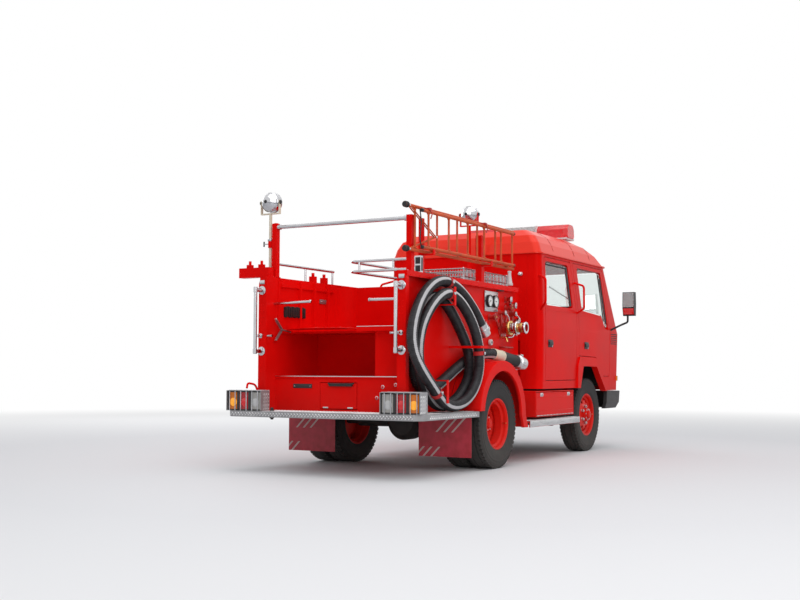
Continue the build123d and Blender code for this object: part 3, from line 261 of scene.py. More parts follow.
def vinylFinish():
    # seat vinyl: fine pebbled grain over soft colour patches
    material, tree, shader, spot = startFinish("seatVinyl")
    cells = addNode(tree, "ShaderNodeTexVoronoi", Scale=420.0)
    cloud = addNode(tree, "ShaderNodeTexNoise", Scale=7.0, Detail=4.0)
    tones = rampNode(tree, [(0.35, (0.045, 0.043, 0.043)), (0.7, (0.078, 0.075, 0.073))])
    bump = addNode(tree, "ShaderNodeBump", Strength=0.35, Distance=0.0006)
    linkNodes(
        tree, (spot, cells, "Vector"), (spot, cloud, "Vector"), (cloud, "Fac", tones, "Fac"),
        (tones, "Color", shader, "Base Color"), (cells, "Distance", bump, "Height"),
        (bump, "Normal", shader, "Normal"))
    setInputs(shader, Roughness=0.5, Sheen_Weight=0.15)
    return material


def hoseFinish():
    # black rubber with a pale line that follows the hose (the mesh carries it as "stripe")
    material, tree, shader, spot = startFinish("hoseRubber")
    line = addNode(tree, "ShaderNodeAttribute")
    line.attribute_name = "stripe"
    wear = addNode(tree, "ShaderNodeTexNoise", Scale=26.0, Detail=6.0)
    edge = mathNode(tree, "MULTIPLY_ADD", None, 0.35)
    strength = rampNode(tree, [(0.6, (0, 0, 0)), (0.8, (1, 1, 1))])
    mix = addNode(tree, "ShaderNodeMix", data_type="RGBA")
    mix.inputs[7].default_value = (0.5, 0.49, 0.5, 1)
    tones = rampNode(tree, [(0.35, (0.014, 0.013, 0.015)), (0.7, (0.03, 0.028, 0.032))])
    linkNodes(
        tree, (spot, wear, "Vector"), (wear, "Fac", edge, 0), (line, "Fac", edge, 2),
        (edge, 0, strength, "Fac"), (strength, "Color", mix, 0), (wear, "Fac", tones, "Fac"),
        (tones, "Color", mix, 6), (mix, 2, shader, "Base Color"))
    setInputs(shader, Roughness=0.46, Specular_IOR_Level=0.3)
    return material


def bandedLens(name, axis, stops, ribScale, ribDepth, **values):
    # a ribbed lens whose colour changes in steps with its distance along an axis
    material, tree, shader, spot = startFinish(name)
    split = addNode(tree, "ShaderNodeSeparateXYZ")
    out = mathNode(tree, "ABSOLUTE")
    bands = rampNode(tree, stops)
    bands.color_ramp.interpolation = "CONSTANT"
    ribs = addNode(tree, "ShaderNodeTexWave", Scale=ribScale, bands_direction="Y")
    bump = addNode(tree, "ShaderNodeBump", Strength=ribDepth, Distance=0.002)
    linkNodes(
        tree, (spot, split, 0), (split, axis, out, 0), (out, 0, bands, "Fac"),
        (bands, "Color", shader, "Base Color"), (spot, ribs, "Vector"), (ribs, "Fac", bump, "Height"),
        (bump, "Normal", shader, "Normal"), (bands, "Color", shader, "Emission Color"))
    setInputs(shader, Coat_Weight=0.5, **values)
    return material


# tail lamps: clear by the middle, then red, then amber; headlamps are clear, the lamps under them amber
tailStops = [
    (0.0, (0.34, 0.33, 0.31)), (0.697, (0.34, 0.33, 0.31)), (0.6981, (0.4, 0.004, 0.01)),
    (0.8139, (0.6, 0.15, 0.004))]
noseStops = [(0.0, (0.8, 0.26, 0.01)), (0.806, (0.72, 0.72, 0.72))]
finishes["flapPlastic"] = flapFinish()
finishes["seatVinyl"] = vinylFinish()
finishes["hoseRubber"] = hoseFinish()
finishes["tailLens"] = bandedLens(
    "tailLens", "Y", tailStops, 34.0, 0.5, Roughness=0.18, Emission_Strength=0.08)
finishes["noseLens"] = bandedLens("noseLens", "Z", noseStops, 30.0, 0.4, Roughness=0.15)
print("finishes made:", len(finishes))

# the CAD nodes that stay: their paint and how far their edges are eased (mm)
cadFinish = {
    ("blackPlastic", 0): ["steering_wheel"], ("blackPlastic", 5): ["mirrors"],
    ("blackPlastic", 6): ["bumper"], ("brushedSteel", 0): ["hose_couplings"],
    ("castIron", 0): ["knuckle_left", "knuckle_right", "track_rod"], ("castIron", 4): ["powertrain"],
    ("chassisBlack", 0): ["axles", "cab_floor"], ("chassisBlack", 2): ["chassis_frame"],
    ("chrome", 0): ["bright_rails", "deck_lamp", "mast_lamp"], ("creamPaint", 0): ["light_mast"],
    ("dashPlastic", 8): ["dashboard"],
    ("firePaint", 0): [
        "body_tub", "cab_back", "cab_front", "cab_sides", "door_front_left", "door_front_right",
        "door_rear_left", "door_rear_right"],
    ("firePaint", 2): ["posts", "rear_panel"],
    ("firePaint", 3): [
        "body_sides", "locker_flap_left", "locker_flap_right", "lockers_and_steps", "rear_hatch"],
    ("firePaint", 4): ["folding_shelf"], ("firePaint", 6): ["rear_fenders"],
    ("flapPlastic", 1): ["mud_flaps"], ("hoseRubber", 0): ["suction_hose"],
    ("ladderPaint", 0): ["ladder"], ("lensRed", 8): ["light_bar_lenses"],
    ("noseLens", 0): ["front_lamps"],
    ("rimPaint", 0): ["front_rim_left", "front_rim_right", "rear_rims_left", "rear_rims_right"],
    # the cab roof takes the lighter copy of the fire paint, a painted highlight
    ("litRoofPaint", 0): ["cab_roof"], ("seatVinyl", 0): ["seat_cushions"],
    ("springSteel", 1): ["leaf_springs"], ("tailLens", 3): ["tail_lenses"],
    ("tankPaint", 4): ["fuel_tank"], ("treadBase", 3): ["rear_step"],
    ("tyreRubber", 0): ["front_tyre_left", "front_tyre_right", "rear_tyres_left", "rear_tyres_right"],
    ("valvePaint", 0): ["pump_panel"], ("whiteEnamel", 4): ["light_bar"],
    ("windowGlass", 0): [
        "glass_front_left", "glass_front_right", "glass_rear_left", "glass_rear_right", "windshield"],
    ("wireSteel", 0): ["deck_baskets"]}
for (paint, ease), names in cadFinish.items():
    for piece in (nodes[name] for name in names):
        piece.data.materials.clear()
        piece.data.materials.append(finishes[paint])
        if ease:
            weld = piece.modifiers.new("weld", "WELD")
            weld.merge_threshold = 0.00002
            soft = piece.modifiers.new("ease", "BEVEL")
            soft.width = ease * mm
            soft.segments = 2
            soft.limit_method = "ANGLE"
            soft.angle_limit = math.radians(40)
            soft.harden_normals = False
print("CAD nodes painted")

# shapes: each gives (points, faces) in metres
def slab(x0, x1, y0, y1, z0, z1, ease=2.0):
    # a block between two places (mm ahead of the axle), its edges eased
    a, b = at(min(x0, x1), min(y0, y1), min(z0, z1)), at(max(x0, x1), max(y0, y1), max(z0, z1))
    bm = bmesh.new()
    bmesh.ops.create_cube(bm, size=1.0)
    for v in bm.verts:
        v.co = Vector(((a[i] + b[i]) / 2 + v.co[i] * (b[i] - a[i]) for i in range(3)))
    width = min(ease * mm, 0.45 * min(b[i] - a[i] for i in range(3)))
    bmesh.ops.bevel(bm, geom=bm.edges[:], offset=width, segments=2, affect="EDGES", profile=0.6)
    return takeMesh(bm)


def localSlab(x0, x1, y0, y1, z0, z1, ease=1.5):
    # the same about the origin, to be moved or copied
    shift = -axleBack / mm
    return slab(x0 + shift, x1 + shift, y0, y1, z0, z1, ease)


def takeMesh(bm):
    bmesh.ops.recalc_face_normals(bm, faces=bm.faces[:])
    bm.verts.index_update()
    shape = ([v.co.copy() for v in bm.verts], [[v.index for v in f.verts] for f in bm.faces])
    bm.free()
    return shape


def frameAlong(axis):
    axis = Vector(axis).normalized()
    other = Vector(toTop) if abs(axis.z) < 0.9 else Vector(toFront)
    u = axis.cross(other).normalized()
    return axis, u, axis.cross(u)


def lathe(place, axis, profile, sides=32):
    # profile rows are (distance along the axis, radius) in mm; a radius of 0 closes an end
    axis, u, v = frameAlong(axis)
    points, faces, rings = [], [], []
    for along, radius in profile:
        centre = place + axis * along * mm
        if radius <= 0:
            rings.append([len(points)])
            points.append(centre)
            continue
        rings.append(list(range(len(points), len(points) + sides)))
        for i in range(sides):
            turn = 2 * math.pi * i / sides
            points.append(centre + (u * math.cos(turn) + v * math.sin(turn)) * radius * mm)
    for a, b in zip(rings, rings[1:]):
        for i in range(sides):
            j = (i + 1) % sides
            if len(a) == 1 and len(b) == 1:
                continue
            if len(a) == 1:
                faces.append([a[0], b[i], b[j]])
            elif len(b) == 1:
                faces.append([a[i], b[0], a[j]])
            else:
                faces.append([a[i], b[i], b[j], a[j]])
    return points, faces


def softPath(points, bend=20.0, steps=5):
    # rounds the corners of a run of points given in metres; bend in mm
    path = [points[0]]
    for before, here, after in zip(points, points[1:], points[2:]):
        into, away = (here - before), (after - here)
        cut = min(bend * mm, 0.45 * into.length, 0.45 * away.length)
        a, b = here - into.normalized() * cut, here + away.normalized() * cut
        for i in range(steps + 1):
            t = i / steps
            path.append(a * (1 - t) ** 2 + here * 2 * t * (1 - t) + b * t * t)
    path.append(points[-1])
    return path


def sweep(path, outline, closed=False, up=None):
    # outline is [(side, up)] in mm, carried along the path; up is one direction or a list of them
    count = len(path)
    points, faces = [], []
    normal = None
    for i, spot in enumerate(path):
        before = path[i - 1] if (i or closed) else path[0]
        after = path[(i + 1) % count] if (i + 1 < count or closed) else path[-1]
        tangent = (after - before).normalized()
        if up is not None:
            normal = up[i] if isinstance(up, list) else Vector(up)
        elif normal is None:
            normal = frameAlong(tangent)[1]
        normal = (normal - tangent * normal.dot(tangent)).normalized()
        sideways = tangent.cross(normal)
        points += [spot + sideways * (a * mm) + normal * (b * mm) for a, b in outline]
    n = len(outline)
    for i in range(count if closed else count - 1):
        j = (i + 1) % count
        for k in range(n):
            m = (k + 1) % n
            faces.append([i * n + k, i * n + m, j * n + m, j * n + k])
    if not closed:
        faces.append(list(range(n)))
        faces.append([(count - 1) * n + k for k in reversed(range(n))])
    return points, faces


def onCircle(radius, degrees):
    angle = math.radians(degrees)
    return radius * math.cos(angle), radius * math.sin(angle)


def roundOutline(radius, sides=12):
    return [
        (radius * math.cos(2 * math.pi * i / sides), radius * math.sin(2 * math.pi * i / sides))
        for i in range(sides)]


def band(half, low, high):
    # the outline of a flat strip
    return [(-half, low), (half, low), (half, high), (-half, high)]


def pipe(places, radius, bend=20.0, sides=12, closed=False):
    path = softPath([Vector(p) for p in places], bend) if len(places) > 2 else [Vector(p) for p in places]
    return sweep(path, roundOutline(radius, sides), closed)


def bolt(place, axis, across=8.0, height=6.0):
    # hexagon head on a washer
    return lathe(
        place, axis,
        [
            (-1, 0), (-1, across * 1.25), (1.2, across * 1.25), (1.2, across), (height, across),
            (height + 1.2, across * 0.8), (height + 1.2, 0)],
        6)


def turnShape(shape, pivot, axis, degrees):
    spin = Matrix.Translation(pivot) @ Matrix.Rotation(
        math.radians(degrees), 4, axis) @ Matrix.Translation(-pivot)
    return [spin @ p for p in shape[0]], shape[1]


def shifted(shape, offset):
    return [p + offset for p in shape[0]], shape[1]


def flipSide(shape):
    # the mirror image across the middle line
    return [Vector((p.x, -p.y, p.z)) for p in shape[0]], [list(reversed(f)) for f in shape[1]]


def put(parts, paint, *shapes):
    parts.extend((shape, paint) for shape in shapes)


def assemble(name, body, parts, angle=32, replaces=()):
    # one mesh from [(shape, finish)], normals made to point outwards, riding on its body
    order = []
    points, faces, paint = [], [], []
    for shape, finish in parts:
        if finish not in order:
            order.append(finish)
        start = len(points)
        points += shape[0]
        faces += [[start + i for i in face] for face in shape[1]]
        paint += [order.index(finish)] * len(shape[1])
    mesh = bpy.data.meshes.new(name)
    mesh.from_pydata(points, [], faces)
    for finish in order:
        mesh.materials.append(finishes[finish])
    mesh.polygons.foreach_set("material_index", paint)
    bm = bmesh.new()
    bm.from_mesh(mesh)
    bmesh.ops.remove_doubles(bm, verts=bm.verts[:], dist=0.000005)
    bmesh.ops.recalc_face_normals(bm, faces=bm.faces[:])
    bm.to_mesh(mesh)
    bm.free()
    return settle(name, body, mesh, angle, replaces)


def newObject(name, data):
    made = bpy.data.objects.new(name, data)
    scene.collection.objects.link(made)
    return made


def meshFrom(piece):
    # the mesh that the modifiers make of a piece
    return bpy.data.meshes.new_from_object(piece.evaluated_get(bpy.context.evaluated_depsgraph_get()))


def settle(name, body, mesh, angle=32, replaces=()):
    mesh.polygons.foreach_set("use_smooth", [True] * len(mesh.polygons))
    mesh.set_sharp_from_angle(angle=math.radians(angle))
    piece = newObject(name, mesh)
    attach(piece, body)
    if replaces:
        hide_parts(*replaces)
    return piece


# Geometry Nodes: one tree puts a shape on a ring, one on the points of a mesh, one grows the ribbed hose
def openTree(name, inputs):
    tree = bpy.data.node_groups.new(name, "GeometryNodeTree")
    tree.interface.new_socket("Geometry", in_out="INPUT", socket_type="NodeSocketGeometry")
    for label, kind, value in inputs:
        socket = tree.interface.new_socket(label, in_out="INPUT", socket_type=kind)
        if value is not None:
            socket.default_value = value
    tree.interface.new_socket("Geometry", in_out="OUTPUT", socket_type="NodeSocketGeometry")
    return tree, addNode(tree, "NodeGroupInput"), addNode(tree, "NodeGroupOutput")


def ringTree():
    # copies of a shape round the Y axis, each turned to face outwards
    tree, given, result = openTree("ringOfPieces", [
        ("Shape", "NodeSocketObject", None), ("Count", "NodeSocketInt", 12),
        ("Radius", "NodeSocketFloat", 0.1), ("Centre", "NodeSocketVector", (0, 0, 0)),
        ("Start Turn", "NodeSocketFloat", 0.0)])
    seeds = addNode(tree, "GeometryNodeMeshLine", Count=12)
    index = addNode(tree, "GeometryNodeInputIndex")
    whole = mathNode(tree, "DIVIDE", 2 * math.pi)
    turn = mathNode(tree, "MULTIPLY_ADD")
    spin = addNode(tree, "ShaderNodeCombineXYZ")
    sine, cosine = (mathNode(tree, o) for o in ("SINE", "COSINE"))
    outX, outZ = (mathNode(tree, "MULTIPLY") for i in range(2))
    place = addNode(tree, "ShaderNodeCombineXYZ")
    shift = addNode(tree, "ShaderNodeVectorMath", operation="ADD")
    move = addNode(tree, "GeometryNodeSetPosition")
    shape = addNode(tree, "GeometryNodeObjectInfo")
    copies = addNode(tree, "GeometryNodeInstanceOnPoints")
    real = addNode(tree, "GeometryNodeRealizeInstances")
    linkNodes(
        tree, (given, "Count", seeds, "Count"), (given, "Count", whole, 1), (index, 0, turn, 0),
        (whole, 0, turn, 1), (given, "Start Turn", turn, 2), (turn, 0, sine, 0), (turn, 0, cosine, 0),
        (sine, 0, outX, 0), (cosine, 0, outZ, 0), (given, "Radius", outX, 1), (given, "Radius", outZ, 1),
        (outX, 0, place, 0), (outZ, 0, place, 2), (place, 0, shift, 0), (given, "Centre", shift, 1),
        (seeds, 0, move, "Geometry"), (shift, 0, move, "Position"), (turn, 0, spin, 1),
        (move, 0, copies, "Points"), (given, "Shape", shape, "Object"),
        (shape, "Geometry", copies, "Instance"), (spin, 0, copies, "Rotation"), (copies, 0, real, 0),
        (real, 0, result, 0))
    return tree


def pointsTree():
    # copies of a shape on every point of the given mesh, turned by the point's own "turn" (Euler angles)
    tree, given, result = openTree("pieceOnPoints", [("Shape", "NodeSocketObject", None)])
    turn = addNode(tree, "GeometryNodeInputNamedAttribute", data_type="FLOAT_VECTOR", Name="turn")
    shape = addNode(tree, "GeometryNodeObjectInfo")
    copies = addNode(tree, "GeometryNodeInstanceOnPoints")
    real = addNode(tree, "GeometryNodeRealizeInstances")
    linkNodes(
        tree, (given, "Geometry", copies, "Points"), (given, "Shape", shape, "Object"),
        (shape, "Geometry", copies, "Instance"), (turn, "Attribute", copies, "Rotation"),
        (copies, 0, real, 0), (real, 0, result, 0))
    return tree


def hoseTree():
    # a ribbed tube along a curve; one line of the outline carries the pale stripe
    tree, given, result = openTree("ribbedTube", [
        ("Radius", "NodeSocketFloat", 0.046), ("Rib Pitch", "NodeSocketFloat", 0.014),
        ("Rib Height", "NodeSocketFloat", 0.06), ("Sides", "NodeSocketInt", 20),
        ("Finish", "NodeSocketMaterial", None)])
    quarter = mathNode(tree, "MULTIPLY", None, 0.25)
    even = addNode(tree, "GeometryNodeResampleCurve", mode="LENGTH")
    along = addNode(tree, "GeometryNodeSplineParameter")
    ratio = mathNode(tree, "DIVIDE")
    circle = mathNode(tree, "MULTIPLY", None, 2 * math.pi)
    wave = mathNode(tree, "SINE")
    lift = mathNode(tree, "MULTIPLY_ADD", None, None, 0.94)
    width = addNode(tree, "GeometryNodeSetCurveRadius")
    profile = addNode(tree, "GeometryNodeCurvePrimitiveCircle")
    index = addNode(tree, "GeometryNodeInputIndex")
    first = mathNode(tree, "COMPARE", None, 7.5, 0.6)
    mark = addNode(tree, "GeometryNodeStoreNamedAttribute", data_type="FLOAT", Name="stripe")
    skin = addNode(tree, "GeometryNodeCurveToMesh", Fill_Caps=True)
    real = addNode(tree, "GeometryNodeRealizeInstances")
    coat = addNode(tree, "GeometryNodeSetMaterial")
    linkNodes(
        tree, (given, "Geometry", even, "Curve"), (given, "Rib Pitch", quarter, 0),
        (quarter, 0, even, "Length"), (along, "Length", ratio, 0), (given, "Rib Pitch", ratio, 1),
        (ratio, 0, circle, 0), (circle, 0, wave, 0), (wave, 0, lift, 0), (given, "Rib Height", lift, 1),
        (even, 0, width, "Curve"), (lift, 0, width, "Radius"), (given, "Sides", profile, "Resolution"),
        (given, "Radius", profile, "Radius"), (profile, 0, mark, "Geometry"), (index, 0, first, 0),
        (first, 0, mark, "Value"), (width, 0, skin, "Curve"), (mark, 0, skin, "Profile Curve"),
        (lift, 0, skin, "Scale"), (skin, 0, real, 0), (real, 0, coat, "Geometry"),
        (given, "Finish", coat, "Material"), (coat, 0, result, 0))
    return tree


trees = {"ring": ringTree(), "points": pointsTree(), "hose": hoseTree()}


def grow(name, data, tree, **inputs):
    # runs a tree on some data and returns the plain mesh it makes
    holder = newObject(name + "Seed", data)
    layer = holder.modifiers.new("growth", "NODES")
    layer.node_group = tree
    keys = {item.name: item.identifier for item in tree.interface.items_tree if item.in_out == "INPUT"}
    for label, value in inputs.items():
        layer[keys[label.replace("_", " ")]] = value
    mesh = meshFrom(holder)
    mesh.name = name
    bpy.data.objects.remove(holder)
    return mesh


def shapeObject(name, shape):
    # a small shape at the origin for the trees to copy; it is taken away after use
    mesh = bpy.data.meshes.new(name)
    mesh.from_pydata(shape[0], [], shape[1])
    bm = bmesh.new()
    bm.from_mesh(mesh)
    bmesh.ops.recalc_face_normals(bm, faces=bm.faces[:])
    bm.to_mesh(mesh)
    bm.free()
    return newObject(name, mesh)


def copiesOf(name, shape, data, tree, **inputs):
    # runs a tree that copies a small shape and returns (points, faces) of all the copies
    holder = shapeObject(name + "Copy", shape)
    mesh = grow(name, data, tree, Shape=holder, **inputs)
    bpy.data.objects.remove(holder)
    result = ([v.co.copy() for v in mesh.vertices], [list(p.vertices) for p in mesh.polygons])
    bpy.data.meshes.remove(mesh)
    return result


def ringShape(name, shape, count, radius, centre, start=0.0):
    # a shape round a centre; radius in mm, centre as a place
    empty = bpy.data.meshes.new(name + "Start")
    return copiesOf(
        name, shape, empty, trees["ring"], Count=count, Radius=radius * mm, Centre=tuple(centre),
        Start_Turn=start)


def spreadShape(name, shape, places, turns):
    # a shape at each place, turned by its own Euler angles
    cloud = bpy.data.meshes.new(name + "Places")
    cloud.from_pydata([tuple(p) for p in places], [], [])
    field = cloud.attributes.new("turn", "FLOAT_VECTOR", "POINT")
    for i, turn in enumerate(turns):
        field.data[i].vector = turn
    return copiesOf(name, shape, cloud, trees["points"])


origin = Vector((0, 0, 0))
print("shapes and trees ready")

# suction hose: the route's points from the CAD source, as a smooth line
hoseSizes = {"radius": 46.0, "ribPitch": 14.0, "ribHeight": 0.055, "sides": 20}
hoseRoute = [
    (200, -845, 978), (60, -832, 1000), (-60, -800, 1002), (-170, -745, 972), (-290, -716, 925),
    (-440, -713, 866), (-640, -713, 780), (-820, -713, 710), (-960, -713, 684), (-1085, -713, 718),
    (-1160, -713, 808), (-1190, -714, 930), (-1185, -714, 1070), (-1145, -714, 1210), (-1070, -714, 1330),
    (-965, -714, 1420), (-835, -714, 1464), (-690, -716, 1444), (-560, -732, 1352), (-462, -770, 1195),
    (-392, -807, 1030), (-362, -810, 915), (-384, -810, 808), (-442, -808, 728), (-535, -805, 650),
    (-655, -800, 590), (-800, -793, 562), (-945, -791, 574), (-1062, -794, 632), (-1160, -797, 722),
    (-1230, -799, 835), (-1270, -805, 965), (-1266, -808, 1090), (-1216, -808, 1208), (-1128, -808, 1310),
    (-1015, -808, 1400), (-890, -808, 1466), (-755, -808, 1494), (-630, -818, 1462), (-525, -842, 1380),
    (-442, -874, 1255), (-390, -898, 1110), (-372, -905, 970), (-382, -905, 850), (-440, -905, 742),
    (-535, -903, 650), (-660, -897, 586), (-805, -891, 560), (-950, -889, 574), (-1070, -891, 630),
    (-1190, -893, 718), (-1325, -876, 840), (-1376, -832, 965), (-1380, -806, 1095), (-1334, -796, 1228),
    (-1252, -786, 1346), (-1142, -776, 1450), (-1006, -770, 1536), (-856, -768, 1586), (-700, -768, 1592),
    (-545, -770, 1560), (-420, -774, 1504), (-305, -780, 1432), (-200, -787, 1350), (-118, -793, 1262)]
hoseLine = bpy.data.curves.new("hoseLine", "CURVE")
hoseLine.dimensions = "3D"
spline = hoseLine.splines.new("NURBS")
spline.points.add(len(hoseRoute) - 1)
for point, row in zip(spline.points, hoseRoute):
    point.co = (*at(*row), 1)
spline.order_u = 3
spline.use_endpoint_u = True
hoseLine.resolution_u = 10
plainLine = newObject("hoseLineHolder", hoseLine)
hosePath = [v.co.copy() for v in meshFrom(plainLine).vertices]
bpy.data.objects.remove(plainLine)
hoseSkin = grow(
    "suctionHose", hoseLine, trees["hose"], Radius=hoseSizes["radius"] * mm,
    Rib_Pitch=hoseSizes["ribPitch"] * mm, Rib_Height=hoseSizes["ribHeight"], Sides=hoseSizes["sides"],
    Finish=finishes["hoseRubber"])
settle("suctionHose", "chassis", hoseSkin, 60, ("suction_hose",))
print(
    "hose:", len(hoseSkin.polygons), "faces, line",
    round(sum((b - a).length for a, b in zip(hosePath, hosePath[1:])), 3), "m")


def nearestOnHose(x, y, z):
    spot = at(x, y, z)
    index = min(range(1, len(hosePath) - 1), key=lambda i: (hosePath[i] - spot).length)
    return hosePath[index], (hosePath[index + 1] - hosePath[index - 1]).normalized()


# straps that tie the bundle, and the bands at the two ends
strapSizes = {
    "width": 34, "gap": 3.0,
    "places": [(-1130, -893, 672), (-372, -905, 1000), (-690, -768, 1592), (-745, -830, 1480)]}
parts = []
for place in strapSizes["places"]:
    spot, along = nearestOnHose(*place)
    half, r = strapSizes["width"] / 2, hoseSizes["radius"] + strapSizes["gap"]
    put(parts, "strapWeb", lathe(
        spot, along, [(-half, r - 3), (-half, r + 1), (half, r + 1), (half, r - 3)], 28))
    buckle = localSlab(-14, 14, -6, 6, -12, 12, 2)
    put(parts, "chrome", shifted(buckle, spot - Vector((0, (r + 3) * mm, 0))))
grip = (hosePath[0] - hosePath[3]).normalized()
put(
    parts, "creamPaint", lathe(hosePath[0], grip, [(-18, 50), (-16, 55.5), (0, 56), (3, 54)], 36),
    lathe(hosePath[0], -grip, [(0, 48), (2, 51.5), (150, 50.5), (152, 48)], 36))
put(parts, "blackRubber", lathe(
    hosePath[0], grip,
    [(3, 52), (6, 54.5), (40, 54.5), (44, 53), (218, 53), (222, 54.5), (256, 54.5), (259, 52)], 36))
for turn in range(0, 360, 90):
    lug = lathe(hosePath[0] + grip * 0.322, grip, [(-20, 0), (-20, 9), (20, 9), (20, 0)], 12)
    lug = shifted(lug, frameAlong(grip)[1] * 0.068)
    put(parts, "brushedSteel", turnShape(lug, hosePath[0], grip, turn + 20))
assemble("hoseTrim", "chassis", parts)

# tyres: a turned carcass with grooves, and shoulder and middle lugs grown round it
tyreSizes = {
    "radius": 387.0, "bead": 222, "shoulderLugs": 56, "middleLugs": 44, "lugTurn": 14, "sides": 96}


def tyreShapes(centre, width):
    h, r = width / 2, tyreSizes["radius"]
    outer = [
        (h - 20, tyreSizes["bead"]), (h - 12, 227), (h - 10, 238), (h - 5, 246), (h - 4.4, 262),
        (h - 1.6, 284), (h - 0.2, 304), (h - 0.4, 318), (h + 0.6, 320), (h + 0.6, 325), (h - 0.8, 327),
        (h - 2.5, 344), (h - 1.8, 346), (h - 2.4, 349), (h - 4.2, 351), (h - 8, 364), (h - 12, 371),
        (h - 20, r - 13), (h - 36, r - 11), (h - 37, r - 2), (h - 55, r - 0.5), (h - 56.5, r - 11),
        (h - 63, r - 11), (h - 64.5, r)]
    profile = outer + [(-a, b) for a, b in reversed(outer)] + [(-h + 34, 214), (h - 34, 214), outer[0]]
    parts = []
    put(parts, "tyreRubber", lathe(centre, toLeft, profile, tyreSizes["sides"]))
    lug = turnShape(localSlab(-14, 14, h - 40, h - 11, -16, -1.5), origin, "Z", 4)
    block = turnShape(localSlab(-13, 13, h - 57, h - 34, -12, 0.4), origin, "Z", tyreSizes["lugTurn"])
    for shape, count, start in (
            (lug, tyreSizes["shoulderLugs"], 0.0), (block, tyreSizes["middleLugs"], 0.05)):
        for mirrored in (False, True):
            one = turnShape(shape, origin, "Z", 180) if mirrored else shape
            put(parts, "tyreRubber", ringShape("tyreLug", one, count, r, centre, start + 0.03 * mirrored))
    return parts


def axleSpot(x, y):
    return at(x, y, 387.5)


# body, node, axle's x, the tyres' middles, width
wheelRows = [
    ("wheel_front_right", "front_tyre_right", 2500, (-715,), 190),
    ("wheel_front_left", "front_tyre_left", 2500, (715,), 190),
    ("wheel_rear_right", "rear_tyres_right", 0, (-822, -612), 186),
    ("wheel_rear_left", "rear_tyres_left", 0, (822, 612), 186)]
for body, node, axleX, middles, width in wheelRows:
    parts = []
    for middle in middles:
        parts += tyreShapes(axleSpot(axleX, middle), width)
    assemble(node.replace("_", "") + "Tread", body, parts, 40, (node,))
print("tyres made")

# wheel nuts, hub caps and valves
hubSizes = {"nut": 17, "frontCircle": 88, "rearCircle": 104, "capBolts": 8, "capCircle": 56}
for body, node, axleX, middles, width in wheelRows:
    s = 1 if middles[0] > 0 else -1
    outward = (0, s, 0)
    front = axleX > 0
    face, circle = (770, hubSizes["frontCircle"]) if front else (727, hubSizes["rearCircle"])
    nut = lathe(
        origin, outward,
        [
            (0, 0), (0, 20), (3, 20), (3, hubSizes["nut"]), (22, hubSizes["nut"]), (25, 13), (25, 9),
            (31, 8), (31, 0)],
        6)
    small = lathe(origin, outward, [(0, 0), (0, 8), (6, 8), (8, 5), (8, 0)], 6)
    parts = []
    put(parts, "brushedSteel", ringShape("wheelNut", nut, 6, circle, axleSpot(axleX, s * (face - 1))))
    capAt = 812 if front else 814
    put(parts, "rimPaint", lathe(
        axleSpot(axleX, s * (capAt - 14)), outward,
        [(0, 62), (0, 66), (8, 66), (10, 60), (12, 44), (30, 42), (36, 34), (39, 18), (39, 0)], 40))
    put(parts, "brushedSteel", ringShape(
        "capBolt", small, hubSizes["capBolts"], hubSizes["capCircle"], axleSpot(axleX, s * (capAt - 6)),
        0.2))
    stem = middles[0] + s * (width / 2 - 30)
    put(parts, "brass", pipe(
        [
            axleSpot(axleX, stem - s * 30) + Vector((0.19, 0, 0)),
            axleSpot(axleX, stem) + Vector((0.17, 0, 0)),
            axleSpot(axleX, stem + s * 22) + Vector((0.165, 0, 0))],
        4, 8, 8))
    if front:
        put(parts, "rimPaint", lathe(
            axleSpot(axleX, s * (face - 14)), outward, [(0, 206), (3, 208), (5, 205), (5, 200), (0, 198)],
            64))
    assemble(node.replace("_", "") + "Hub", body, parts)
print("hubs made")


# rubber round the windows, laid on the panels they sit in
def surfaceOf(*names):
    skins = []
    for name in names:
        mesh = nodes[name].data
        skins.append(BVHTree.FromPolygons(
            [v.co for v in mesh.vertices], [p.vertices for p in mesh.polygons]))
    return skins


def landOn(surfaces, start, way):
    # the nearest point hit and the normal there, which faces the ray
    way, best, nearest = Vector(way), None, math.inf
    for tree in surfaces:
        hit, normal, index, far = tree.ray_cast(start, way)
        if hit is not None and far < nearest:
            best, nearest = (hit, normal if normal.dot(way) < 0 else -normal), far
    return best


def grown(outline, amount):
    count = len(outline)
    area = sum(
        outline[i - 1][0] * outline[i][1] - outline[i][0] * outline[i - 1][1] for i in range(count))
    amount = math.copysign(amount, area)
    moved = []
    for i in range(count):
        before, here, after = (Vector(outline[k]) for k in (i - 1, i, (i + 1) % count))
        a, b = (here - before).normalized(), (after - here).normalized()
        share = amount / (1 + a.dot(b))
        moved.append((here.x + (a.y + b.y) * share, here.y - (a.x + b.x) * share))
    return moved


def fineLoop(outline, corner, step=22.0, closed=True):
    # rounds the corners of a flat outline in mm and divides it evenly
    flat = [Vector((a, b, 0)) for a, b in outline]
    loop = []
    for i in range(len(flat)):
        before, here, after = flat[i - 1], flat[i], flat[(i + 1) % len(flat)]
        if not closed and i in (0, len(flat) - 1):
            loop.append(here)
            continue
        a = here - (here - before).normalized() * min(corner, 0.45 * (here - before).length)
        b = here + (after - here).normalized() * min(corner, 0.45 * (after - here).length)
        loop += [
            a * (1 - t) ** 2 + here * 2 * t * (1 - t) + b * t * t for t in (0, 0.2, 0.4, 0.6, 0.8, 1)]
    fine = []
    for i in range(len(loop) if closed else len(loop) - 1):
        a, b = loop[i], loop[(i + 1) % len(loop)]
        parts = max(1, round((b - a).length / step))
        fine += [a + (b - a) * k / parts for k in range(parts)]
    if not closed:
        fine.append(loop[-1])
    return [(p.x, p.y) for p in fine]


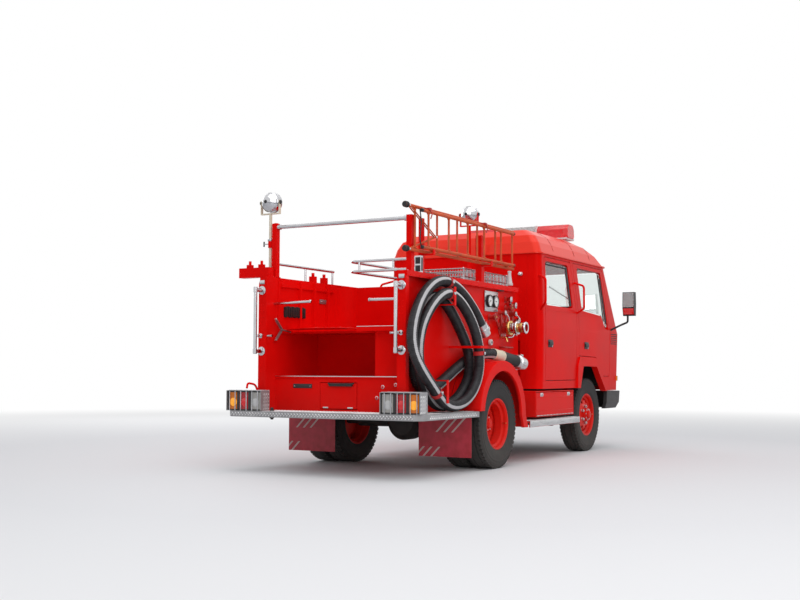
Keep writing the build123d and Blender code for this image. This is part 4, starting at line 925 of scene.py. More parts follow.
def layStrip(outline, view, surfaces, section, corner=40, closed=True, lift=0.0):
    # a strip along an outline seen from the "right", "left" or "front", set on the surface it lands on
    path, ups = [], []
    ways = {"right": toLeft, "left": toRight, "front": toRear}
    for a, b in fineLoop(outline, corner, closed=closed):
        start = at(3900, a, b) if view == "front" else at(a, 1300 if view == "left" else -1300, b)
        hit = landOn(surfaces, start, ways[view])
        if hit is None:
            continue
        path.append(hit[0] + hit[1] * lift * mm)
        ups.append(hit[1])
    return sweep(path, section, closed, ups)


sealSizes = {
    "section": [(-11, -3), (-10, 1.5), (-5, 4), (4, 4), (10, 1.5), (11, -7), (0, -8)], "growth": 2}
rearWindow = [(1290, 1512), (1290, 1920), (1868, 1920), (1975, 1512)]
frontWindow = [(2262, 1502), (2150, 1920), (2850, 1918), (3052, 1318), (2960, 1340), (2860, 1470)]
windscreen = [(-745, 1372), (745, 1372), (705, 1948), (-705, 1948)]
# rear pane: the channels at its front and top; front pane: the quarter light's bar and the pillar's channel
# each row: ends, half widths at the foot and the top, height
windowStrips = {
    "rear": [([(1946, 1522), (1843, 1912)], 22, 20, 3), ([(1305, 1902), (1850, 1902)], 9, 8, 3)],
    "front": [([(2930, 1402), (2800, 1905)], 9, 8, 4), ([(3012, 1382), (2862, 1868)], 15, 14, 3)]}
for hand in ("right", "left"):
    for which, outline in (("rear", rearWindow), ("front", frontWindow)):
        door, glass = f"door_{which}_{hand}", f"glass_{which}_{hand}"
        skins = surfaceOf(door, glass)
        parts = []
        put(parts, "blackRubber", layStrip(
            grown(outline, sealSizes["growth"]), hand, skins, sealSizes["section"]))
        for ends, foot, top, high in windowStrips[which]:
            section = [(-foot, -2), (-top, high), (top, high), (foot, -2)]
            put(parts, "blackRubber", layStrip(ends, hand, skins, section, closed=False, lift=1))
        assemble("seal_" + glass, door, parts, 50)
screenSkins = surfaceOf("cab_front", "windshield")
wiperSizes = {"pivots": (-560, 60), "foot": 1336, "reach": (300, 366), "blade": (190, 130)}
parts = []
put(parts, "blackRubber", layStrip(
    grown(windscreen, 3), "front", screenSkins,
    [(-15, -4), (-13, 2), (-5, 5), (5, 5), (13, 2), (15, -6), (0, -9)], 60))
for y in wiperSizes["pivots"]:
    tip = (y + wiperSizes["reach"][0], wiperSizes["foot"] + wiperSizes["reach"][1])
    bladeY, bladeZ = wiperSizes["blade"]
    low = landOn(screenSkins, at(3900, y, wiperSizes["foot"]), toRear)
    high = landOn(screenSkins, at(3900, *tip), toRear)
    if low and high:
        put(
            parts, "blackPlastic",
            lathe(low[0] - low[1] * 0.004, low[1], [(0, 0), (0, 15), (18, 13), (24, 8), (24, 0)], 16),
            pipe(
                [
                    low[0] + low[1] * 0.02, low[0].lerp(high[0], 0.5) + high[1] * 0.04,
                    high[0] + high[1] * 0.018],
                5, 60, 8))
        put(parts, "blackRubber", layStrip(
            [(tip[0] - bladeY, tip[1] - bladeZ), (tip[0] + bladeY, tip[1] + bladeZ)], "front",
            screenSkins, [(-3, 1), (-6, 12), (6, 12), (3, 1)], closed=False, lift=1))
assemble("windscreenTrim", "chassis", parts, 50)
print("window rubber laid")

# pump panel: gauge plate, gauges, outlet rings, valves with their wheels and levers
panelSizes = {
    "face": -665, "gauges": (300, 428), "gaugeHeight": 1488, "gaugeRadius": 56, "ticks": 32,
    "outlet": (610, 1250)}
parts = []
panelY = panelSizes["face"]
put(parts, "brushedSteel", slab(222, 506, panelY - 10, panelY - 7.5, 1393, 1579, 3))
for x in (236, 492):
    for z in (1407, 1565):
        put(parts, "chrome", bolt(at(x, panelY - 10, z), toRight, 5, 4))
for i, x in enumerate(panelSizes["gauges"]):
    z, r = panelSizes["gaugeHeight"], panelSizes["gaugeRadius"]
    front = at(x, panelY - 30, z)
    put(parts, "blackPlastic", lathe(
        front, toRight, [(-20, r + 1), (-2, r + 1), (3, r - 1), (4, r - 5), (1, r - 8), (-1, r - 8)], 48))
    put(parts, "gaugeFace", lathe(front, toRight, [(0.4, 0), (0.4, r - 8), (-1, r - 8)], 48))
    tick = localSlab(-1, 1, -0.5, 0.5, -5, 5, 0.2)
    ring = ringShape(
        "gaugeTick", tick, panelSizes["ticks"], r - 15, front + Vector((0, -0.0009, 0)),
        math.radians(-135))
    keep = []
    for f in ring[1]:
        across, rise = (sum(ring[0][v][k] for v in f) / len(f) - front[k] for k in (0, 2))
        if rise >= -0.02 or abs(across) > 0.022:
            keep.append(f)
    put(parts, "blackPlastic", (ring[0], keep))
    hand = shifted(localSlab(-1.6, 1.6, -0.6, 0.6, -9, 34, 0.3), front + Vector((0, -0.0022, 0)))
    hand = turnShape(hand, front, "Y", (-118, -86)[i])
    put(parts, "blackPlastic", hand, lathe(front, toRight, [(1, 0), (1, 5), (4, 5), (4.6, 0)], 16))
for mirrored in (False, True):
    x, z = panelSizes["outlet"]
    root = at(x, panelY, z)
    rings = [
        ([(-1, 0), (-1, 90), (9, 90), (12, 86), (12, 54)], "valvePaint"),
        ([(68, 50), (69, 68), (74, 70), (92, 70), (97, 67), (98, 46)], "brass"),
        ([(100, 46), (104, 49), (132, 49), (137, 46)], "chrome"),
        ([(138, 46), (139, 62), (143, 64), (164, 64), (169, 61), (170, 44)], "chrome"),
        ([(172, 44), (190, 47), (206, 47), (222, 44)], "brass"),
        ([(224, 44), (226, 55), (246, 56), (251, 53), (251, 35), (228, 34.2), (150, 34.2)], "chrome")]
    for row, paint in rings:
        shape = lathe(root, toRight, row, 48)
        put(parts, paint, flipSide(shape) if mirrored else shape)
    for turn in range(0, 360, 60):
        across, rise = onCircle(78, turn)
        flange = bolt(at(x + across, panelY - 12, z + rise), toRight, 6, 5)
        put(parts, "brushedSteel", flipSide(flange) if mirrored else flange)
    for turn in (20, 200):
        lug = turnShape(
            slab(x - 8, x + 8, panelY - 164, panelY - 143, z + 60, z + 78, 2), root, "Y", turn)
        put(parts, "chrome", flipSide(lug) if mirrored else lug)
assemble("outletAndGauges", "chassis", parts)

parts = []
# x, z, kind
valveRows = [
    (690, 1520, "cap"), (690, 1440, "wheel"), (800, 1470, "cap"), (800, 1390, "lever"),
    (560, 1390, "lever"), (330, 1340, "wheel"), (880, 1330, "cap")]
for x, z, kind in valveRows:
    tip = at(x, panelY - 62, z)
    put(parts, "valvePaint", lathe(
        at(x, panelY, z), toRight, [(0, 0), (0, 30), (5, 30), (8, 22), (20, 18.5), (44, 18.5)], 28))
    if kind == "cap":
        put(parts, "chrome", lathe(
            tip, toRight, [(-18, 27), (-15, 30), (2, 30), (6, 26), (8, 14), (10, 0)], 8))
        put(parts, "brass", lathe(
            at(x, panelY - 26, z), toRight, [(0, 19), (2, 24), (12, 24), (14, 19)], 6))
    elif kind == "wheel":
        hub = tip + Vector((0, -0.012, 0))
        hoop = [
            hub + Vector((across * mm, 0, rise * mm))
            for across, rise in (onCircle(36, t) for t in range(0, 360, 12))]
        put(parts, "valvePaint", sweep(hoop, roundOutline(5, 8), True))
        for rimPlace in hoop[::6]:
            put(parts, "valvePaint", pipe([hub, rimPlace], 3.5, sides=6))
        put(parts, "brass", lathe(tip, toRight, [(-4, 0), (-4, 11), (16, 9), (19, 4), (19, 0)], 16))
    else:
        put(parts, "chrome", lathe(tip, toRight, [(-6, 0), (-6, 24), (4, 22), (10, 12), (12, 0)], 20))
        put(parts, "brushedSteel", pipe(
            [tip, tip + Vector((0.02, -0.022, -0.035)), tip + Vector((0.03, -0.026, -0.085))], 5.5, 15,
            10))
        put(parts, "blackPlastic", lathe(
            tip + Vector((0.03, -0.026, -0.075)), (0.1, 0, -1), [(0, 0), (0, 9), (26, 8), (31, 0)], 14))
# pipes that join the valves on the panel
for run, r, paint in (
        ([(690, 1520), (745, 1500), (800, 1470)], 9, "chrome"),
        ([(690, 1440), (690, 1395), (640, 1300)], 11, "valvePaint"),
        ([(800, 1390), (800, 1310), (705, 1262)], 10, "valvePaint"),
        ([(560, 1390), (545, 1310), (560, 1262)], 11, "valvePaint"),
        ([(330, 1340), (430, 1340), (470, 1270), (530, 1252)], 10, "valvePaint"),
        ([(880, 1330), (880, 1230), (800, 1170), (690, 1165)], 9, "chrome")):
    put(parts, paint, pipe([at(x, panelY - 24, z) for x, z in run], r, 30, 12))
put(parts, "whiteEnamel", lathe(
    at(330, panelY - 26, 1110), toRight, [(-20, 27), (-4, 29), (2, 27), (4, 18), (4, 0)], 28))
put(parts, "blackPlastic", lathe(
    at(330, panelY - 30, 1110), toRight, [(-1, 12), (1, 12), (1.6, 8), (1.6, 0)], 20))
put(parts, "brass", pipe(
    [at(560, panelY, 1160), at(560, panelY - 70, 1160), at(560, panelY - 78, 1120)], 9, 20))
put(parts, "blackPlastic", slab(470, 590, panelY - 34, panelY - 12, 1590, 1618, 4))
assemble("valves", "chassis", parts)
print("pump panel dressed")

# rear: hatch handle, bare plate, reflectors, bars, latch, wall block, pads
rearSizes = {"wall": -1175, "bar": -1200, "pillar": -1315, "rail": 680, "railFeet": (1010, 1525)}
wall, pillar = rearSizes["wall"], rearSizes["pillar"]
parts = []
put(parts, "blackPlastic", slab(-1194, -1172, -142, 84, 718, 742, 5), pipe(
    [at(-1176, -150, 745), at(-1192, -150, 738), at(-1192, 90, 738), at(-1176, 90, 745)], 6, 12))
for y in (-120, 120):
    put(parts, "brushedSteel", slab(-1181, -1171, y - 26, y + 26, 536, 548, 2))
assemble("hatchHandle", "rear_hatch", parts)
parts = []
put(parts, "blackPlastic", slab(wall, wall + 6, 262, 452, 700, 736, 3))
for y in (278, 436):
    put(parts, "chrome", bolt(at(wall, y, 718), toRear, 4, 3))
for y, z in ((-426, 717), (-370, 628), (-545, 735)):
    put(parts, "chrome", lathe(
        at(wall + 5, y, z), toRear, [(0, 0), (0, 15), (4, 15), (6, 12), (6.5, 0)], 20))
    put(parts, "lensRed", lathe(at(wall - 1, y, z), toRear, [(0, 0), (0, 11), (3, 9), (4, 0)], 18))
put(parts, "brushedSteel", slab(-1184, -1150, -636, 636, 796, 803, 2))
put(
    parts, "chrome", pipe([at(rearSizes["bar"], 645, 1416), at(rearSizes["bar"], 261, 1425)], 12),
    lathe(at(rearSizes["bar"], 261, 1425), toRight, [(-14, 12), (-12, 15), (0, 15), (4, 10), (4, 0)], 20),
    pipe([at(rearSizes["bar"], -640, 1424), at(rearSizes["bar"], -310, 1424)], 12),
    lathe(at(rearSizes["bar"], -310, 1424), toLeft, [(-14, 12), (-12, 15), (0, 15), (4, 10), (4, 0)], 20))
put(parts, "brushedSteel", slab(-1252, -1180, -636, -222, 1204, 1209, 2))
# the rough black block on the left wall, ribbed like a wheel chock
for i in range(9):
    x = -1070 + i * 34
    put(parts, "blackRubber", slab(x, x + 29, 606, 634, 1306 + 5 * (i % 2), 1404 - 6 * ((i + 1) % 2), 7))
put(parts, "blackRubber", slab(-1072, -762, 614, 634, 1318, 1392, 4))
put(parts, "lockerSteel", slab(-520, -376, 622, 632, 1452, 1492, 3))
for x in (-500, -396):
    put(parts, "chrome", bolt(at(x, 622, 1472), toRight, 6, 5))
# the grey folding stay beside the shelf
for a, b in (
        ((-1222, 606, 1282), (-1130, 606, 1196)), ((-1216, 606, 1108), (-1130, 606, 1196)),
        ((-1130, 606, 1196), (-1016, 600, 1180))):
    start, end = at(*a), at(*b)
    put(parts, "lockerSteel", sweep([start, end], band(4, -13, 13)))
for spot in ((-1222, 606, 1282), (-1216, 606, 1108), (-1130, 606, 1196), (-1016, 600, 1180)):
    put(parts, "brushedSteel", lathe(
        at(*spot), toRight, [(-8, 0), (-8, 9), (8, 9), (10, 6), (10, 0)], 14))
# bolts with long shanks on the pillars, and the small latches at the shelf's ends
for y, z in ((690, 1140), (-676, 1148)):
    s = 1 if y > 0 else -1
    put(
        parts, "chrome",
        lathe(
            at(pillar, y, z), toRear,
            [(0, 0), (0, 20), (6, 20), (8, 9), (40, 8), (42, 12), (52, 12), (54, 0)], 20),
        lathe(
            at(-1300, y - s * 46, z), (0, -s, 0), [(0, 0), (0, 9), (52, 9), (54, 12), (60, 12), (62, 0)],
            16))
for y in (rearSizes["rail"], -rearSizes["rail"]):
    put(parts, "chrome", slab(pillar - 7, pillar + 3, y - 26, y + 26, 1578, 1612, 4))
for s in (1, -1):
    for z in (1300, 1350, 1400):
        for y in (664, 690):
            put(parts, "firePaint", lathe(
                at(pillar, s * y, z), toRear, [(0, 0), (0, 6), (2.4, 4), (3, 0)], 12))
# towing eye, peg cap and the small lamp post under the step
put(parts, "firePaint", pipe(
    [at(-1340, 700, 680), at(-1360, 712, 730), at(-1420, 745, 742), at(-1442, 735, 700)], 9, 24))
put(parts, "blackPlastic", lathe(
    at(-1400, 505, 511), toTop, [(0, 0), (0, 19), (6, 19), (9, 14), (26, 14), (30, 9), (30, 0)], 24))
put(parts, "castIron", lathe(
    at(-1400, 505, 462), toFloor, [(0, 0), (0, 20), (8, 20), (12, 12), (20, 12), (20, 0)], 24))
# pads and collars of the grab rails
for s in (1, -1):
    for z in rearSizes["railFeet"]:
        put(
            parts, "chrome",
            lathe(
                at(pillar, s * rearSizes["rail"], z), toRear,
                [(0, 0), (0, 37), (7, 37), (11, 31), (14, 19), (30, 17), (88, 15.5)], 32),
            lathe(
                at(pillar - 95, s * rearSizes["rail"], z - 22), toTop,
                [(0, 15), (2, 19), (42, 19), (44, 15)], 24))
        for turn in range(0, 360, 90):
            across, rise = onCircle(28, turn + 45)
            put(parts, "chrome", bolt(
                at(pillar - 7, s * rearSizes["rail"] + across, z + rise), toRear, 3.5, 3))
assemble("rearFittings", "chassis", parts)
print("rear dressed")

# tread plate: raised lozenges on the step, its edge, the lamp boxes' ends and the side steps
treadSizes = {"pitch": 30, "long": 11.5, "wide": 4.2, "high": 2.2}
lozengeOutline = []
for share, height in ((1.0, 0.0), (0.66, treadSizes["high"])):
    for along, across in (
            (-treadSizes["long"], 0), (0, -treadSizes["wide"]), (treadSizes["long"], 0),
            (0, treadSizes["wide"])):
        lozengeOutline.append(Vector((along * share, across * share, height)) * mm)
lozenge = (lozengeOutline, [[0, 1, 5, 4], [1, 2, 6, 5], [2, 3, 7, 6], [3, 0, 4, 7], [4, 5, 6, 7]])


def treadField(corner, along, across, length, width):
    # places and turns of lozenges over a flat field; along and across are directions, sizes in mm
    along, across = Vector(along), Vector(across)
    face = along.cross(across)
    places, turns = [], []
    pitch = treadSizes["pitch"] / 2
    for i in range(1, int(length / pitch)):
        for j in range(1, int(width / pitch)):
            if (i + j) % 2:
                continue
            places.append(corner + along * i * pitch * mm + across * j * pitch * mm)
            lean = math.radians(45 if i % 2 else -45)
            u = along * math.cos(lean) + across * math.sin(lean)
            turns.append(Matrix((u, face.cross(u), face)).transposed().to_euler()[:])
    return places, turns


treadPlaces, treadTurns = [], []
fields = [
    (at(-1345, -570, 511), toLeft, toRear, 1140, 120), (at(-1320, -705, 511), toRight, toFront, 225, 840),
    (at(-1185, -640, 511), toLeft, toRear, 1280, 150), (at(-1320, 930, 511), toRight, toFront, 225, 840),
    (at(-1471, 890, 464), toRight, toTop, 1780, 46), (at(-1320, -934, 464), toFront, toTop, 850, 46),
    (at(-480, 934, 464), toRear, toTop, 850, 46), (at(-1466, -931, 512), toFront, toTop, 118, 164),
    (at(-1348, 931, 512), toRear, toTop, 118, 164), (at(-1440, 570, 514), toFront, toTop, 92, 160),
    (at(-1348, -570, 514), toRear, toTop, 92, 160), (at(715, 645, 386), toFront, toLeft, 1285, 255),
    (at(2000, -645, 386), toRear, toRight, 1285, 255)]
for field in fields:
    more = treadField(*field)
    treadPlaces += more[0]
    treadTurns += more[1]
assemble(
    "treadLozenges", "chassis",
    [(spreadShape("lozenge", lozenge, treadPlaces, treadTurns), "treadAluminium")], 20)
parts = []
for s in (1, -1):
    put(parts, "treadBase", slab(711, 2004, s * 640, s * 905.5, 383, 387.2, 1.5))
    put(parts, "brushedSteel", slab(711, 2004, s * 904, s * 907, 328, 386, 1.5))
    for x in (-1346, -1440):
        put(parts, "chrome", slab(x - 3, x + 3, s * 572, s * 926, 680, 684, 1))
assemble("stepTrim", "chassis", parts)
print("tread plate laid:", len(treadPlaces), "lozenges")

# tail lamps: dark dividers, guard bars and round lamps glowing behind the lenses
tailSizes = {
    "back": -1441, "face": -1455, "bars": (610, 668, 726, 784, 842, 900), "barsOut": -1461,
    "dividers": ((578, 7), (698, 13), (814, 13), (920, 7)),
    "bulbs": ((638, "lensClear"), (756, "lensRed"), (867, "bulbAmber"))}
face, back = tailSizes["face"], tailSizes["back"]
parts = []
for s in (1, -1):
    for y, half in tailSizes["dividers"]:
        put(parts, "blackPlastic", slab(face, back, s * (y - half), s * (y + half), 519, 669, 1.5))
    for y in tailSizes["bars"]:
        put(parts, "chrome", pipe(
            [at(tailSizes["barsOut"], s * y, z) for z in (510, 678)], 4.6, sides=10))
    for z in (521, 668):
        put(parts, "blackPlastic", slab(face, back, s * 578, s * 922, z - 3, z + 3, 1.5))
    for y, paint in tailSizes["bulbs"]:
        put(parts, paint, lathe(
            at(face + 3, s * y, 582), toRear, [(-0.5, 36), (1.5, 35), (3.5, 30), (4.2, 15), (4.6, 0)],
            32))
assemble("tailLampTrim", "chassis", parts)
print("tail lamps dressed")

# light bar: ribs on the white horn box, ribbed red lenses with round ends
barSizes = {"x": 2560, "ribs": 30, "pitch": 15.3}
rib = localSlab(-2.5, 2.5, -3, 3, -48, 44, 1)
places = [
    at(barSizes["x"] + s * 98, -222 + barSizes["pitch"] * i, 2352) for s in (1, -1)
    for i in range(barSizes["ribs"])]
parts = []
put(parts, "whiteEnamel", spreadShape("barRib", rib, places, [(0, 0, 0)] * len(places)))
slotShape = localSlab(-1.5, 1.5, -3.4, 3.4, -44, 40, 0.6)
slotPlaces = [
    p + Vector(((1 if p.x > at(barSizes["x"], 0, 0).x else -1) * 0.0022, 0.0076, 0)) for p in places]
put(parts, "blackPlastic", spreadShape("barSlot", slotShape, slotPlaces, [(0, 0, 0)] * len(places)))
# the same ribs on the slanting shoulders, which show from below
for s in (1, -1):
    for i in range(barSizes["ribs"]):
        y = -218 + barSizes["pitch"] * i
        ends = [at(barSizes["x"] + s * 98, y, 2399), at(barSizes["x"] + s * 60, y, 2451)]
        outward = Vector((s * 0.8, 0, 0.6))
        put(parts, "dashPlastic", sweep(ends, band(2.2, -2, 1.0), up=outward))
for s in (1, -1):
    put(parts, "whiteEnamel", slab(2452, 2668, s * 232, s * 246, 2302, 2452, 5))
    cap = [(2457, 2302), (2461, 2402), (2500, 2452), (2620, 2452), (2659, 2402), (2663, 2302)]
    loop = fineLoop(cap, 26, 400)
    rim = [at(x, s * 560, z) for x, z in loop] + [at(x, s * 600, z) for x, z in loop]
    n = len(loop)
    shape = (
        rim + [at(x * 0.94 + barSizes["x"] * 0.06, s * 607, z * 0.94 + 2376 * 0.06) for x, z in loop],
        [[i, (i + 1) % n, n + (i + 1) % n, n + i] for i in range(n)] + [
            [n + i, n + (i + 1) % n, 2 * n + (i + 1) % n, 2 * n + i]
            for i in range(n)] + [list(range(2 * n, 3 * n)), list(range(n))])
    put(parts, "lensRed", shape)
    for y in range(262, 556, 13):
        put(parts, "lensRed", sweep(
            [at(2458.5, s * y, 2305), at(2459.6, s * y, 2392)],
            [(-2, -1.6), (2, -1.6), (1, 1.6), (-1, 1.6)], up=toRear))
    for x in (2455, 2665):
        put(parts, "whiteEnamel", slab(x - 3, x + 3, s * 244, s * 602, 2286, 2303, 2))
assemble("lightBarTrim", "chassis", parts, 30)
print("light bar dressed")

# ladder: black feet, folded stays on a pin, rung collars and the catches that hold the front section
ladderSizes = {"near": -712, "far": -755, "low": 1815, "high": 2165}
near, far, low, high = ladderSizes.values()
parts = []
for z in (low, high):
    put(parts, "blackRubber", lathe(
        at(-1333, near, z), toFront, [(0, 0), (-1, 20), (4, 24), (44, 24), (50, 19), (52, 15)], 28))
    for k in range(4):
        put(parts, "blackRubber", lathe(
            at(-1325 + 10 * k, near, z), toFront, [(0, 23), (1, 25.5), (4, 25.5), (5, 23)], 28))
apex = (-840, -724, 1950)
for z in (low, high):
    for side in (-9, 9):
        put(parts, "ladderPaint", pipe(
            [at(-1262, near + side, z), at(apex[0], apex[1] + side, apex[2])], 5.5, 10, 10))
    put(parts, "brushedSteel", lathe(
        at(-1262, near - 16, z), toLeft, [(0, 0), (0, 8), (32, 8), (32, 0)], 16))
put(parts, "brushedSteel", lathe(
    at(apex[0], apex[1] - 20, apex[2]), toLeft,
    [(0, 0), (0, 10), (6, 10), (6, 7), (34, 7), (34, 10), (40, 10), (40, 0)], 16))
for y, foot, top, rungs in (
        (near, low, high, (-1160, -780, -410, -16, 366, 745)),
        (far, 1841, 2139, (-1010, -650, -290, 40, 400))):
    for x in rungs:
        for z, way in ((foot, 1), (top, -1)):
            put(parts, "ladderPaint", lathe(
                at(x, y, z), (0, 0, way), [(12, 15), (15, 15.5), (22, 11.5), (26, 9)], 16))
for x in (-1120, 690):
    for z in (1841, 2139):
        put(parts, "blackPlastic", lathe(
            at(x, far, z), (1 if x > 0 else -1, 0, 0), [(-12, 14), (-10, 16), (0, 16), (4, 12), (4, 0)],
            18))
for x in (-1010, 40):
    put(
        parts, "valvePaint", slab(x - 20, x + 20, -777, -698, 2150, 2170, 3),
        pipe([at(x, -775, 2158), at(x, -790, 2120), at(x, -775, 2078)], 5, 14, 10))
# rope through the top rungs
put(parts, "blackRubber", pipe(
    [at(-1120, -735, 2150), at(-1098, -738, 2050), at(-1130, -741, 1900), at(-1096, -739, 1835)], 5, 60,
    10))
assemble("ladderFittings", "chassis", parts, 36)
print("ladder dressed")

# wire baskets: close upright wires on all four sides and a wire floor
basketSizes = {"low": 1626, "high": 1760, "wire": 2.6, "gap": 26}
low, high = basketSizes["low"], basketSizes["high"]
parts = []
for rear, front in ((-60, 210), (350, 870)):
    run = front - rear
    steps = round(run / basketSizes["gap"])
    for i in range(1, steps):
        x = rear + run * i / steps
        for y in (-600, -120):
            put(parts, "wireSteel", pipe([at(x, y, low), at(x, y, high)], basketSizes["wire"], sides=7))
        put(parts, "wireSteel", pipe([at(x, -600, low), at(x, -120, low)], basketSizes["wire"], sides=6))
    for j in range(1, 18):
        y = -600 + 480 * j / 18
        for x in (rear, front):
            put(parts, "wireSteel", pipe([at(x, y, low), at(x, y, high)], basketSizes["wire"], sides=7))
    for x in (rear, front):
        for y in (-600, -120):
            put(parts, "chrome", lathe(
                at(x, y, 1620), toTop,
                [(0, 14), (4, 14), (6, 8), (140, 7.5), (146, 9), (150, 6), (151, 0)], 18))
assemble("basketWires", "chassis", parts, 40)

# the white nozzle on its red peg, a knob on the cab's back and hose caps by the deck's edge
deckSizes = {"floor": 1620, "nozzle": (925, -605), "caps": (140, 275), "slats": (140, 300, 460)}
floor, nozzle = deckSizes["floor"], deckSizes["nozzle"]
parts = []
put(parts, "firePaint", lathe(
    at(*nozzle, floor), toTop,
    [(0, 34), (6, 34), (8, 24), (34, 22), (38, 26), (50, 26), (52, 20), (52, 0)], 28))
put(parts, "whiteEnamel", lathe(
    at(*nozzle, floor + 52), toTop,
    [
        (0, 30), (12, 33), (22, 33), (26, 27), (58, 22), (100, 17), (124, 15), (126, 19), (140, 19),
        (143, 12), (128, 10), (100, 9)],
    32))
put(parts, "brushedSteel", lathe(
    at(1130, -635, 1800), toRear,
    [(-6, 0), (-6, 20), (4, 20), (6, 12), (22, 11), (26, 17), (36, 17), (40, 12), (40, 0)], 24))
for x in deckSizes["caps"]:
    put(parts, "brushedSteel", lathe(
        at(x, -30, floor), toTop, [(0, 40), (3, 40), (3, 33), (34, 33), (38, 28), (40, 0)], 32))
for x in (-30, 300, 620, 900):
    for y in (110, 560):
        put(parts, "chrome", bolt(at(x, y, floor - 1), toTop, 7, 6))
for y in deckSizes["slats"]:
    put(parts, "treadAluminium", slab(0, 930, y - 9, y + 9, floor - 1, floor + 6, 3))
# the boxed end of the guard rails: dark insets in its bright case
put(
    parts, "blackPlastic", slab(-1019, -1015, -682, -638, 1655, 1705, 2),
    slab(-1019, -1015, -682, -638, 1718, 1772, 2), slab(-1010, -990, -692, -689, 1660, 1770, 1.5))
# seams across the roof panels
roofSkin = surfaceOf("cab_roof")
seamSizes = {"places": (1517, 2103, 2560), "half": 832, "steps": 112}
for x in seamSizes["places"]:
    path, ups = [], []
    for k in range(seamSizes["steps"] + 1):
        y = seamSizes["half"] * (2 * k / seamSizes["steps"] - 1)
        found = landOn(roofSkin, at(x, y, 2600), toFloor)
        if found and found[0].z > 2.02:
            path.append(found[0])
            ups.append(found[1])
    put(parts, "seamPaint", sweep(path, band(2.2, -1.5, 1.8), up=ups))
assemble("deckTrim", "chassis", parts)
print("deck dressed")

# spotlights: turned rim, ribbed back, clear front, pivot knobs and a cable
spotSizes = {"trunnion": 85, "knob": 98.5, "screws": 86.5, "mast": (-1150, 722)}
for name, body, place in (
        ("mastLamp", "mast_lamp", (-1150, 722, 2300)), ("deckLamp", "deck_lamp", (925, -173, 2389))):
    spot = at(*place)
    parts = []
    put(parts, "chrome", lathe(
        spot, toFront, [(34, 84), (36, 88), (42, 89), (50, 86), (52, 78), (49, 75)], 56))
    put(parts, "lensClear", lathe(spot, toFront, [(47, 77), (51, 74), (55, 58), (58, 32), (59, 0)], 48))
    put(parts, "chrome", lathe(spot, toFront, [(-17, 84.2), (-15, 86), (-12, 86), (-10, 84.2)], 56))
    put(parts, "blackRubber", lathe(spot, toRear, [(77, 15), (80, 15), (82, 11), (88, 10), (90, 0)], 24))
    for side in (1, -1):
        put(parts, "chrome", lathe(
            spot + Vector((0, side * spotSizes["trunnion"] * mm, 0)), (0, side, 0),
            [(-2, 12), (4, 12), (6, 9)], 20))
        put(parts, "blackPlastic", lathe(
            spot + Vector((0, side * spotSizes["knob"] * mm, 0)), (0, side, 0),
            [(0, 8), (0, 17), (9, 17), (11, 14), (11, 0)], 10))
    for turn in range(0, 360, 45):
        out = Vector((0, *onCircle(1, turn)))
        put(parts, "chrome", bolt(
            spot + Vector((0.038, 0, 0)) + out * spotSizes["screws"] * mm, out, 4, 3))
    assemble(name + "Trim", body, parts)
parts = []
put(
    parts, "chrome",
    lathe(
        at(*spotSizes["mast"], 1700), toTop,
        [(-2, 13.5), (-2, 25), (2, 27), (18, 27), (22, 22), (24, 13.5)], 24),
    lathe(
        at(*spotSizes["mast"], 1965), toTop,
        [(-2, 13.5), (-2, 24), (4, 26), (16, 26), (20, 20), (22, 13.5)], 24))
put(parts, "brushedSteel", pipe([at(-1150, 746, 1940), at(-1150, 792, 1940)], 6, sides=12))
put(parts, "blackPlastic", pipe([at(-1150, 790, 1918), at(-1150, 790, 1962)], 6.5, sides=12))
put(parts, "chrome", slab(-1168, -1132, 640, 688, 2070, 2090, 3))
put(parts, "firePaint", lathe(at(-1150, 664, 2112), toTop, [(-3, 26), (1, 26), (4, 21), (4, 0)], 4))
for s in (1, -1):
    put(parts, "chrome", lathe(
        at(-1150, s * 636, 2080), (0, s, 0), [(-24, 17), (-22, 23), (2, 23), (6, 19)], 28))
for x, y in ((-1150, 664), (-1150, -664), (-962, -664), (142, -664)):
    for side in (-1, 1):
        padX, boltX = x + side * 26.4, x + side * 37.84
        put(parts, "firePaint", slab(padX - 16, padX + 16, y - 24, y + 24, 1643, 1651, 2))
        put(parts, "chrome", bolt(at(boltX, y, 1650), toTop, 6, 5))
assemble("mastTrim", "chassis", parts)
print("lamps dressed")

# mirrors: glass on the side that faces the rear, with a bare rim and a clamp on the arm
mirrorSizes = {
    "panes": (((3172.0, 1476), (3151.5, 1553)), ((3150.3, 1566), (3159.6, 1729))), "sides": (991, 1114),
    "rim": 5, "depth": 3, "clamps": (1500, 1650), "bolts": (1290, 1310)}
inner, outer = mirrorSizes["sides"]
parts = []
for s in (1, -1):
    for low, high in mirrorSizes["panes"]:
        for spread, lift, paint in ((0, 1.2, "mirrorGlass"), (mirrorSizes["rim"], 0.4, "blackRubber")):
            rise = Vector((high[0] - low[0], 0, high[1] - low[1])).normalized()
            back = Vector((-rise.z, 0, rise.x))
            corners = []
            for (x, z), way in ((low, -1), (high, 1)):
                for y in (inner - spread, outer + spread):
                    corners.append(at(x, s * y, z) + rise * way * spread * mm + back * lift * mm)
            deep = [c - back * mirrorSizes["depth"] * mm for c in corners]
            shape = (corners + deep, [
                [0, 1, 3, 2], [4, 6, 7, 5], [0, 4, 5, 1], [2, 3, 7, 6], [0, 2, 6, 4], [1, 5, 7, 3]])
            put(parts, paint, shape)
    for z in mirrorSizes["clamps"]:
        put(parts, "blackPlastic", lathe(
            at(3200, s * 1030, z - 14), toTop, [(0, 11), (0, 17), (28, 17), (28, 11)], 20))
    for z in mirrorSizes["bolts"]:
        put(parts, "blackPlastic", bolt(at(3145, s * 846, z), (0, s, 0), 5, 4))
assemble("mirrorTrim", "chassis", parts)

